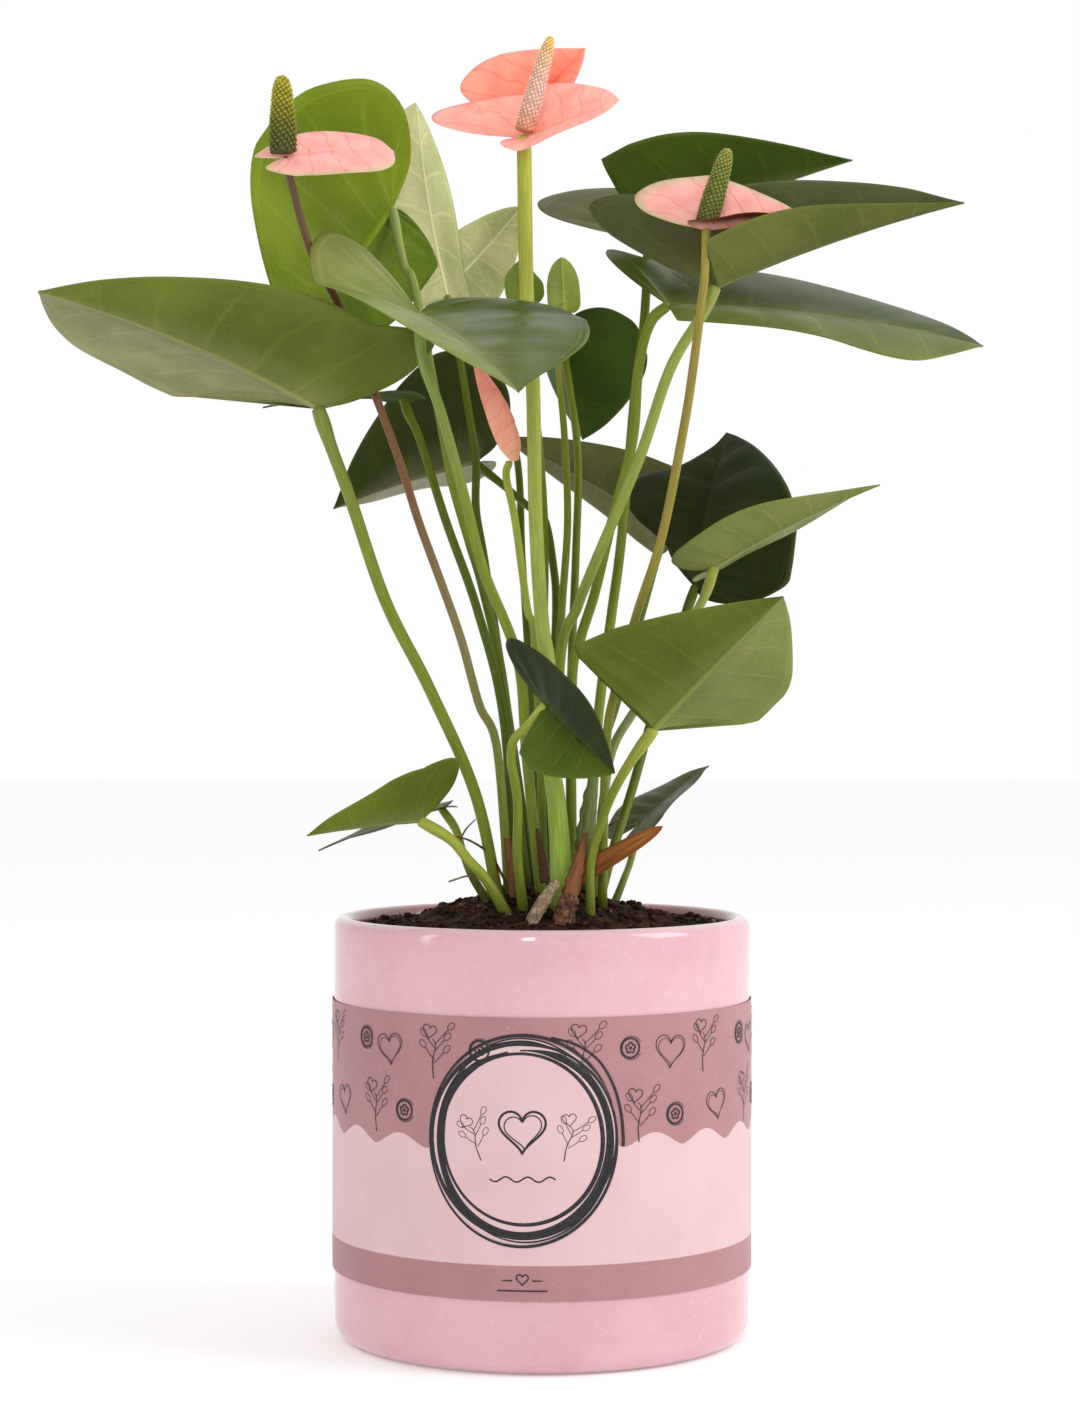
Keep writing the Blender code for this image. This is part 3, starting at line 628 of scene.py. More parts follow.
for _ in range(CRUMBS):
    r, a = (SOIL_R - 2.5) * rng.uniform(0.05, 1) ** 0.6, rng.uniform(0, 2 * pi)
    x, y = r * cos(a), r * sin(a)
    size = 0.45 + 1.5 * rng.random() ** 2.2
    shape = LUMP * rng.uniform(0.65, 1.25, LUMP.shape)
    shape = shape * (size, size * rng.uniform(0.6, 1), size * rng.uniform(0.5, 0.9))
    turn = rng.uniform(0, 2 * pi)
    spin = np.array([(cos(turn), -sin(turn), 0), (sin(turn), cos(turn), 0), (0, 0, 1)])
    base = (x, y, RIM + soil_height(x, y) + crumbly(x, y) + size * 0.25)
    first = len(points)
    points += list(shape @ spin.T + base)
    faces += [tuple(first + c for c in face) for face in LUMP_FACES]
    kind = rng.random()
    tone = PEAT if kind < 0.62 else BARK_BIT if kind < 0.93 else PALE_BIT
    tones += [tuple(c * rng.uniform(0.7, 1.2) for c in tone)] * len(LUMP)
crumb, tree, shader = new_finish("peat_crumb", 0.92, 0.12)
tone = put(tree, "Attribute", attribute_name="tone")
place = put(tree, "TexCoord")
clod = noise(tree, place, 900.0, 4.0)
shade = mixed(tree, ramped(tree, clod, 0.35, 0.7), tone.outputs["Color"], (0.012, 0.006, 0.004))
tree.links.new(shade, shader.inputs["Base Color"])
bumped(tree, shader, clod, 0.0005, 0.8)
crumbs = piece("compost_crumbs", points, faces, [crumb], tones=tones)
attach(crumbs, "root")


# The leaf stalks and flower stalks: smooth round stems, each a little fatter at its foot, and the leaf
# stalks swollen into a short joint below the blade. They stand in the compost and bend slowly outwards.
STALK_GREEN = (0.150, 0.190, 0.018)
STALK_PALE = (0.290, 0.325, 0.045)
STALK_DARK = (0.065, 0.098, 0.006)
BROWN = (0.150, 0.085, 0.050)


def placed(points):
    """Plant coordinates, in millimetres from the rim's centre, as coordinates of the whole object."""
    return np.array(points, float) + (0, 0, RIM)


stem, tree, shader = new_finish("stem_skin", 0.40, 0.22)
shader.inputs["Specular Tint"].default_value = (0.95, 1.0, 0.6, 1)
shader.inputs["Subsurface Weight"].default_value = 0.12
shader.inputs["Subsurface Radius"].default_value = (0.4, 0.6, 0.2)
shader.inputs["Subsurface Scale"].default_value = 0.002
tone = put(tree, "Attribute", attribute_name="tone")
place = put(tree, "TexCoord")
along = put(tree, "Mapping", {"Vector": place.outputs["UV"], "Scale": (26.0, 2.0, 1.0)})
streak = noise(tree, along, 1.0, 4.0)
spots = noise(tree, place, 700.0, 2.0)
soft = maths(tree, "MULTIPLY", ramped(tree, streak, 0.40, 0.72), 0.55)
bright = mixed(tree, 1.0, tone.outputs["Color"], (1.7, 1.6, 1.5), "MULTIPLY")
shade = mixed(tree, soft, tone.outputs["Color"], bright)
pale = maths(tree, "MULTIPLY", ramped(tree, spots, 0.60, 0.75), 0.14)
shade = mixed(tree, pale, shade, (0.40, 0.38, 0.10))
tree.links.new(shade, shader.inputs["Base Color"])
bumped(tree, shader, streak, 0.0003, 0.4)


def stalk(name, route, widths, tones, finish=None, grounded=True, rings=64, sides=16, joint=1.22):
    """A round stem along the smooth curve through route. widths and tones run from foot to end."""
    route = [list(p) for p in route]
    if grounded:
        route[0][2] = soil_height(route[0][0], route[0][1]) - 2.5
    line = smooth(placed(route), rings)
    ahead = np.gradient(line, axis=0)
    ahead /= np.linalg.norm(ahead, axis=1)[:, None]
    share = np.linspace(0, 1, rings)
    size = np.interp(share, np.linspace(0, 1, len(widths)), widths)
    length = np.concatenate([[0], np.cumsum(np.linalg.norm(np.diff(line, axis=0), axis=1))])
    left = length[-1] - length
    size = size * (1 + (joint - 1) * np.exp(-(((left - 5) / 5.5) ** 2)))
    if grounded:
        size = size * (1 + 0.22 * np.exp(-length / 7))
    knots = np.linspace(0, 1, len(tones))
    colour = np.array([np.interp(share, knots, [t[c] for t in tones]) for c in range(3)]).T
    if grounded:
        peaty = np.exp(-length / 6)[:, None] * 0.75
        colour = colour * (1 - peaty) + np.array((0.055, 0.035, 0.012)) * peaty
    side = np.cross(ahead[0], (0.3, 0.9, 0.1))
    points, shades, faces, uvs = [], [], [], []
    angles = np.arange(sides) * 2 * pi / sides
    for centre, direction, radius, shade in zip(line, ahead, size, colour):
        side = side - np.dot(side, direction) * direction
        side /= np.linalg.norm(side)
        other = np.cross(direction, side)
        for a in angles:
            wide = radius * (1 + 0.03 * sin(3 * a + centre[2] * 0.02))
            points.append(centre + wide * (side * cos(a) + other * sin(a)))
            shades.append(shade)
    for ring in range(rings - 1):
        for i in range(sides):
            j, a, b = (i + 1) % sides, ring * sides, (ring + 1) * sides
            faces.append((a + i, a + j, b + j, b + i))
            u, v = i / sides, (i + 1) / sides
            p, q = length[ring] / 20, length[ring + 1] / 20
            uvs.append(((u, p), (v, p), (v, q), (u, q)))
    foot, end = line[0] - ahead[0] * 0.3, line[-1] + ahead[-1] * size[-1] * 0.5
    for ring, step, centre in ((0, -1, foot), (rings - 1, 1, end)):
        points.append(centre)
        shades.append(colour[ring])
        for i in range(sides):
            a, b = ring * sides + i, ring * sides + (i + 1) % sides
            faces.append((a, b, len(points) - 1) if step > 0 else (b, a, len(points) - 1))
            uvs.append(((i / sides, 0), ((i + 1) / sides, 0), (i / sides, 0.1)))
    return piece(name, points, faces, [finish or stem], tones=shades, uvs=uvs)


G, P, D = STALK_GREEN, STALK_PALE, STALK_DARK
LEAF_STALKS = {
    "01": ((1.9, 2.0, 2.1), (G, G, (0.18, 0.22, 0.05)), (-14, -14, 11), (-22, -18, 41), (-37, -22, 76),
           (-51.5, -24, 105), (-63, -23.5, 138.5), (-69.5, -22, 156), (-74, -20, 169)),
    "02": ((1.8, 1.7, 1.7), (G, G, (0.22, 0.29, 0.09)), (0, -14, 11), (-5, -18, 53), (-8, -22, 86),
           (-19, -28, 115), (-25, -30, 138), (-33, -31.5, 167), (-39, -32, 184), (-40, -30, 199)),
    "03": ((1.6, 1.5, 1.4), (D, D, G), (-9, 3, 10), (-13, 8, 66), (-22, 14, 103), (-33, 20, 134),
           (-42, 26, 162), (-46, 28, 171), (-48, 30, 177)),
    "04": ((1.7, 1.6, 1.5), (D, G, (0.26, 0.33, 0.10)), (-5, 12, 10), (-13, 16, 76), (-20, 18, 110),
           (-25, 20, 127), (-31, 22, 148), (-35, 25, 169), (-44, 30, 215), (-48, 32, 224),
           (-52, 32, 243)),
    "05": ((1.5, 1.4, 1.3), (D, D, G), (-2, 16, 9), (-13, 24, 76), (-20, 34, 121), (-23, 38, 139),
           (-23, 40, 156), (-25, 39, 170), (-28, 42, 188), (-31, 54, 204), (-34, 73, 217)),
    "06": ((1.4, 1.3, 1.2), (D, D, G), (1, 20, 9), (-4, 44, 76), (-7, 66, 122), (-10, 84, 165),
           (-26, 98, 205), (-37, 102, 221)),
    "07": ((1.4, 1.3, 1.1), (D, G, P), (7, 8, 10), (5, 14, 72), (7, 22, 105), (9, 34, 135), (8, 46, 165),
           (6, 54, 193), (8, 60, 213)),
    "08": ((1.3, 1.2, 1.0), (D, G, P), (2, 10, 10), (0, 18, 72), (1, 26, 105), (1, 36, 135),
           (-1, 44, 165), (-5, 50, 192), (-6, 55, 215)),
    "09": ((1.5, 1.4, 1.3), (D, D, D), (4, 17, 9), (4, 30, 72), (5, 42, 105), (4, 48, 120), (1, 54, 136),
           (-5, 56, 141), (-13, 60, 148), (-24, 65, 157)),
    "10": ((1.5, 1.4, 1.3), (D, G, G), (10, 14, 10), (10, 34, 72), (12, 54, 122), (13, 66, 158),
           (10, 73, 185), (7, 76, 203)),
    "11": ((1.8, 1.7, 1.6), (G, G, D), (15, 9, 10), (19, 18, 63), (24, 28, 101), (27, 34, 122),
           (30, 40, 150), (33, 46, 182), (36, 50, 204), (38, 52, 235)),
    "12": ((1.7, 1.8, 1.8), (G, (0.22, 0.26, 0.05), (0.23, 0.27, 0.06)), (4, -5, 11), (6, -5, 84),
           (12, -12, 104), (18, -19, 119), (32, -28, 152), (42, -32, 181), (52, -32, 198),
           (57, -30, 208)),
    "13": ((1.8, 1.7, 1.6), (G, G, G), (10, -4, 11), (10, 0, 76), (13, 2, 93), (18, 4, 109), (24, 6, 134),
           (31, 8, 161), (33, 10, 185), (37, 11, 201), (43, 10, 207)),
    "14": ((1.7, 1.6, 1.5), (G, D, D), (19, 4, 10), (24, 8, 21), (31, 18, 42), (39, 30, 69), (47, 40, 93),
           (54, 45, 112)),
    "15": ((1.5, 1.4, 1.3), (D, D, D), (12, 20, 9), (17, 40, 41), (27, 60, 72), (37, 78, 106),
           (45, 90, 134)),
    "16": ((1.6, 1.5, 1.5), (G, (0.21, 0.24, 0.10), P), (17, -6, 11), (21, -8, 42), (24, -8, 57),
           (31, -8, 69), (46, -7, 93), (54, -5, 106), (58, -5, 117)),
    "17": ((1.4, 1.5, 1.8), (G, G, P), (16, -29, 6), (16, -30, 18), (19, -30, 31), (23, -34, 42),
           (29, -40, 53), (36, -45, 63)),
    "18": ((1.6, 1.5, 1.4), (G, G, P), (-6, -24, 7), (-8, -30, 21), (-8, -36, 40), (-10, -42, 53),
           (-9, -46, 60), (-4, -50, 65), (1, -55, 71)),
    "19": ((1.8, 1.7, 1.6), (G, P, P), (-11, -26, 4), (-18, -28, 13), (-24, -30, 20), (-30, -31, 27),
           (-40, -30, 33)),
    "20": ((1.4, 1.3, 1.2), (D, G, P), (-17, -10, 7), (-23, -10, 13), (-26, -8, 20), (-29, -4, 29),
           (-34, 0, 36)),
    "21": ((1.3, 1.2, 1.1), (D, G, G), (24, 12, 4), (28, 22, 10), (31, 32, 17), (34, 40, 29)),
}
for number, (widths, tones, *route) in LEAF_STALKS.items():
    made = stalk("leaf_stalk_" + number, route, widths, tones)
    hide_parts("petiole_" + number)
    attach(made, "root")

ROSY = (0.165, 0.070, 0.036)
OLIVE = (0.210, 0.185, 0.030)
FLOWER_STALKS = {
    "a": ("stalk_brown", (1.5, 1.4, 1.3), (G, (0.19, 0.17, 0.065), ROSY, ROSY, (0.10, 0.065, 0.035)),
          (-11, -6, 11), (-15, -8, 56), (-21, -10, 71), (-27, -13, 93), (-34, -16, 113), (-41, -14, 132),
          (-48, -13, 154), (-57, -12, 178), (-67, -15, 203), (-75, -21, 218), (-79, -27, 230),
          (-84, -34, 250)),
    "b": ("stalk_green", (3.8, 2.7, 2.4, 2.4, 2.5),
          ((0.24, 0.35, 0.05), (0.24, 0.32, 0.06), (0.31, 0.36, 0.07), (0.38, 0.40, 0.06)), (7, -25, 12),
          (5, -25, 36), (2, -22, 59), (2, -16, 84), (0, -11, 99), (-2, -4, 133), (-3, -1, 181),
          (-5, 0, 208), (-6, -2, 262)),
    "c": ("stalk_brown", (1.5, 1.5, 1.4), (G, OLIVE, (0.22, 0.17, 0.035), (0.30, 0.25, 0.05)),
          (20, -16, 11), (21, -30, 56), (24, -34, 76), (31, -38, 101), (39, -42, 126), (46, -44, 161),
          (49, -44, 180), (52, -42, 203), (53, -40, 211), (53.5, -38, 226)),
}
for letter, (slot, widths, tones, *route) in FLOWER_STALKS.items():
    made = stalk("flower_stalk_" + letter, route, widths, tones, joint=1.0)
    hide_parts("peduncle_" + letter)
    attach(made, "root")
BUD_STEM = [(1, 0, 10), (-2, 2, 89), (-5, 3, 104), (-9, 4, 133), (-12, 4, 148), (-11, 3.2, 153)]
made = stalk("bud_stem", BUD_STEM, (1.4, 1.3, 1.3), (G, P, P), joint=1.0)
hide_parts("bud_stalk")
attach(made, "root")


# The leaf blades: leathery heart shapes, glossy dark green above and paler and matt below. A raised
# midrib and curving side veins run out to a fine vein just inside the edge, and the blade swells a little
# between them. Half outlines run from the notch round the basal lobe to the tip. Below 0 the first number
# is a share of the lobe's length, above 0 of the blade's length. The second is a share of the half width.
HEART = ((0, 0), (-0.5, 0.09), (-0.92, 0.3), (-1, 0.6), (-0.62, 0.87), (0, 1), (0.2, 0.96),
         (0.4, 0.82), (0.6, 0.59), (0.78, 0.34), (0.91, 0.13), (1, 0))
ROUND = ((0, 0), (-0.6, 0.1), (-1, 0.36), (-0.95, 0.66), (-0.4, 0.92), (0.1, 1), (0.3, 0.99),
         (0.5, 0.86), (0.7, 0.62), (0.86, 0.36), (0.95, 0.15), (1, 0))
WEDGE = ((0, 0), (-0.42, 0.12), (-0.85, 0.42), (-1, 0.8), (-0.8, 0.98), (-0.1, 0.98), (0.2, 0.87),
         (0.4, 0.71), (0.6, 0.5), (0.78, 0.28), (0.91, 0.11), (1, 0))
BROAD = ((0, 0), (-0.6, 0.1), (-1, 0.36), (-0.95, 0.66), (-0.4, 0.92), (0.1, 1), (0.3, 1),
         (0.5, 0.95), (0.7, 0.8), (0.86, 0.55), (0.95, 0.28), (1, 0))
SHOULDER = ((0, 0), (-0.42, 0.12), (-0.85, 0.42), (-1, 0.8), (-0.8, 0.98), (-0.1, 1), (0.2, 0.98),
            (0.4, 0.85), (0.6, 0.62), (0.78, 0.36), (0.91, 0.15), (1, 0))
OVAL = ((0, 0), (-0.5, 0.12), (-1, 0.3), (-0.7, 0.5), (0, 0.74), (0.25, 0.92), (0.5, 1),
        (0.7, 0.93), (0.86, 0.7), (0.95, 0.42), (1, 0))
LATE = ((0, 0), (-0.5, 0.1), (-1, 0.25), (-0.6, 0.35), (0, 0.42), (0.25, 0.55), (0.45, 0.74),
        (0.62, 0.92), (0.78, 0.88), (0.9, 0.5), (1, 0))
SKEWED = ((0, 0), (0.05, 0.12), (0.14, 0.3), (0.28, 0.49), (0.35, 0.76), (0.5, 1), (0.65, 0.88),
          (0.73, 0.45), (0.87, 0.13), (1, 0))
CORNER = ((0, 0), (-0.3, 0.15), (-0.8, 0.45), (-1, 0.75), (-0.7, 0.93), (-0.15, 0.99), (0.15, 0.86),
          (0.35, 0.7), (0.55, 0.52), (0.75, 0.31), (0.9, 0.13), (1, 0))
RIB_FROM = 0.33
VEINS = 9.0
LEAF_COLUMNS = (0, 0.012, 0.03, 0.06, 0.12, 0.2, 0.3, 0.4, 0.5, 0.6, 0.7, 0.8, 0.88, 0.94, 1)


def blade_axes(start, end, roll, arch):
    """A blade's length along its midrib, its bend, and its directions forward, across and up."""
    run = np.array(end, float) - start
    chord = np.linalg.norm(run)
    x = run / chord
    bend = radians(arch)
    length = chord * (bend / 2) / sin(bend / 2) if bend else chord
    up = np.array((0, 0, 1.0)) - x[2] * x
    if np.linalg.norm(up) < 0.3:
        up = np.array((0, 1.0, 0)) - x[1] * x
    up /= np.linalg.norm(up)
    across = np.cross(up, x)
    turn = radians(roll)
    across, up = across * cos(turn) + up * sin(turn), up * cos(turn) - across * sin(turn)
    forward = x * cos(bend / 2) + up * sin(bend / 2)
    normal = up * cos(bend / 2) - x * sin(bend / 2)
    return length, bend, forward, across, normal


def half_blade(side, axes, start, raised, half, rows, columns, wave, quilt, veins):
    """A grid of points over one half of a blade, from its midrib out to its margin."""
    length, bend, forward, across, normal = axes
    outline, width, lobe, fold, sweep = half[:5]
    curl = half[5] if len(half) > 5 else 0.0
    o = smooth(outline, rows)
    t = np.linspace(0, 1, rows)
    share = np.clip(o[:, 1], 0, 1)
    reach = np.where(o[:, 0] < 0, o[:, 0] * lobe, o[:, 0] * length)
    reach = reach + sweep * share * (1 - np.clip(o[:, 0], 0, 1))
    spread = share * width
    rib = length * np.clip((t - RIB_FROM) / (1 - RIB_FROM), 0, 1) ** 1.15
    grid = np.zeros((rows, len(columns), 3))
    for j, v in enumerate(columns):
        along = rib + (reach - rib) * v
        out = spread * v * cos(radians(fold)) * side
        rise = spread * v * sin(radians(fold)) + sin(radians(raised)) * np.clip(-along, 0, None)
        rise = rise + spread * (curl * v**2.5 + 0.035 * sin(pi * v))
        rise = rise + wave * v**2 * np.sin(t * 14.5 + side) * np.sin(pi * t)
        swell = np.cos(2 * pi * veins * (t + 0.03 * v * v)) * sin(pi * min(1, v / 0.9)) ** 0.7
        rise = rise - quilt * swell * np.clip(spread / 12, 0, 1)
        angle = bend / length * np.clip(along, 0, None)
        ahead = np.where(along > 0, np.sin(angle) * length / bend, along) if bend else along
        drop = -(1 - np.cos(angle)) * length / bend if bend else 0 * along
        grid[:, j] = (
            start
            + np.outer(ahead + np.sin(angle) * rise, forward)
            + np.outer(drop + np.cos(angle) * rise, normal)
            + np.outer(out, across)
        )
    if sweep:
        grid[rib == 0] = start
    return grid


def blade(name, start, end, roll, arch, raised, left, right, finishes, tint, rows=67, columns=LEAF_COLUMNS,
          wave=0.9, quilt=0.22, body=0.42, rib_height=0.55, rib_half=1.1, veins=VEINS):
    """A thin closed blade with two faces. tint gives each point's colour from its half, v and t."""
    start, end = placed([start, end])
    axes = blade_axes(start, end, roll, arch)
    points, weld, shares, faces, uvs = [], {}, [], [], []
    for side, half in ((1, left), (-1, right)):
        grid = half_blade(side, axes, start, raised, half, rows, columns, wave, quilt, veins)
        number = np.zeros(grid.shape[:2], int)
        for i in range(rows):
            for j, v in enumerate(columns):
                key = tuple(np.round(grid[i, j], 4))
                if key not in weld:
                    weld[key] = len(points)
                    points.append(grid[i, j])
                    shares.append((side, v, i / (rows - 1), half[1] * v))
                number[i, j] = weld[key]
        for i in range(1, rows - 1):
            for j in range(len(columns) - 1):
                cell = [(i, j), (i + 1, j), (i + 1, j + 1), (i, j + 1)]
                loop, marks = [], []
                for a, b in cell:
                    if number[a, b] not in loop:
                        loop.append(number[a, b])
                        marks.append((0.5 + 0.5 * side * columns[b], a / (rows - 1)))
                if len(loop) > 2:
                    faces.append(loop if side > 0 else loop[::-1])
                    uvs.append(marks if side > 0 else marks[::-1])
    points = np.array(points)
    normals = np.zeros_like(points)
    for loop in faces:
        for k in range(1, len(loop) - 1):
            face = np.cross(points[loop[k]] - points[loop[0]], points[loop[k + 1]] - points[loop[0]])
            for corner in (loop[0], loop[k], loop[k + 1]):
                normals[corner] += face
    normals /= np.linalg.norm(normals, axis=1)[:, None] + 1e-12
    away = np.array([s[3] for s in shares])
    v = np.array([s[1] for s in shares])
    t = np.array([s[2] for s in shares])
    half_thick = body / 2 * (1 - 0.6 * v**6)
    ridge = rib_height * np.exp(-((away / rib_half) ** 2)) * np.clip(1.25 - t, 0.15, 1)
    top = points + normals * (half_thick + 0.3 * ridge)[:, None]
    under = points - normals * (half_thick + ridge)[:, None]
    count = len(points)
    edges = {}
    for loop in faces:
        for a, b in zip(loop, loop[1:] + loop[:1]):
            edges[(a, b)] = True
    all_faces = list(faces) + [[c + count for c in loop][::-1] for loop in faces]
    all_uvs = list(uvs) + [marks[::-1] for marks in uvs]
    kinds = [0] * len(faces) + [1] * len(faces)
    for a, b in edges:
        if (b, a) not in edges:
            all_faces.append((b, a, a + count, b + count))
            all_uvs.append(((0.99, 0.5),) * 4)
            kinds.append(0)
    tones = np.array([tint(side, v, t) for side, v, t, _ in shares])
    both, tones = np.vstack([top, under]), np.vstack([tones, tones])
    return piece(name, both, all_faces, finishes, kinds, tones, all_uvs)


def veined(name, roughness, vein_gain, vein_share, face_gain, bump_sign, clear):
    """One face of a blade. Veins follow the blade's own length and width."""
    made, tree, shader = new_finish(name, roughness, 0.26)
    shader.inputs["Specular Tint"].default_value = (0.92, 1.0, 0.62, 1)
    tone = put(tree, "Attribute", attribute_name="tone")
    place = put(tree, "TexCoord")
    split = put(tree, "SeparateXYZ", {0: place.outputs["UV"]})
    centre = maths(tree, "SUBTRACT", split.outputs["X"], 0.5)
    out = maths(tree, "ABSOLUTE", centre)
    square = maths(tree, "MULTIPLY", out, out)
    wander = noise(tree, place, 60.0, 2.0)
    bent = maths(tree, "MULTIPLY_ADD", square, 0.12, split.outputs["Y"])
    stray = maths(tree, "MULTIPLY_ADD", wander, 0.035, bent)
    cycles = maths(tree, "MULTIPLY", stray, VEINS)
    inside = maths(tree, "ADD", cycles, 0.5)
    part = maths(tree, "FRACT", inside)
    off = maths(tree, "SUBTRACT", part, 0.5)
    gap = maths(tree, "ABSOLUTE", off)
    side_vein = ramped(tree, gap, 0.075, 0.010)
    fade = ramped(tree, out, 0.47, 0.36)
    side_vein = maths(tree, "MULTIPLY", side_vein, fade)
    midrib = ramped(tree, out, 0.020, 0.006)
    rim = maths(tree, "SUBTRACT", out, 0.462)
    rim = maths(tree, "ABSOLUTE", rim)
    rim = ramped(tree, rim, 0.010, 0.002)
    some = maths(tree, "MAXIMUM", rim, side_vein)
    some = maths(tree, "MULTIPLY", some, 0.34)
    every = maths(tree, "MAXIMUM", some, midrib)
    cells = {"Vector": place.outputs["Object"], "Scale": 420.0}
    net = put(tree, "TexVoronoi", cells, feature="DISTANCE_TO_EDGE")
    mesh_line = ramped(tree, net.outputs["Distance"], 0.09, 0.01)
    cloud = noise(tree, place, 48.0, 4.0)
    fine = noise(tree, place, 900.0, 2.0)
    shade = mixed(tree, 1.0, tone.outputs["Color"], face_gain, "MULTIPLY")
    dim = mixed(tree, 1.0, shade, (0.74, 0.80, 0.66), "MULTIPLY")
    shade = mixed(tree, ramped(tree, cloud, 0.34, 0.68), shade, dim)
    vein = mixed(tree, 1.0, tone.outputs["Color"], vein_gain, "MULTIPLY")
    pale = maths(tree, "MULTIPLY", mesh_line, 0.16)
    shade = mixed(tree, pale, shade, vein)
    strength = maths(tree, "MULTIPLY", every, vein_share)
    shade = mixed(tree, strength, shade, vein)
    tree.links.new(shade, shader.inputs["Base Color"])
    rough = put(tree, "MapRange", {0: cloud, 1: 0.3, 2: 0.7, 3: roughness - 0.05, 4: roughness + 0.07})
    tree.links.new(rough.outputs[0], shader.inputs["Roughness"])
    relief = maths(tree, "MULTIPLY", every, bump_sign)
    relief = maths(tree, "MULTIPLY_ADD", fine, 0.10, relief)
    relief = maths(tree, "MULTIPLY_ADD", mesh_line, 0.10 * bump_sign, relief)
    bumped(tree, shader, relief, 0.0005, 0.55)
    light = put(tree, "BsdfTranslucent")
    glow = mixed(tree, 1.0, shade, (1.3, 1.5, 0.5), "MULTIPLY")
    tree.links.new(glow, light.inputs["Color"])
    blend = put(tree, "MixShader", {0: clear, 1: shader.outputs[0], 2: light.outputs[0]})
    tree.links.new(blend.outputs[0], tree.nodes["Material Output"].inputs["Surface"])
    return made


LEAF_TOP = veined("leaf_upper_face", 0.34, (1.7, 1.55, 1.8), 0.70, (1, 1, 1), -0.5, 0.12)
LEAF_UNDER = veined("leaf_under_face", 0.48, (1.7, 1.6, 1.8), 0.75, (1.12, 1.08, 1.15), 0.7, 0.14)
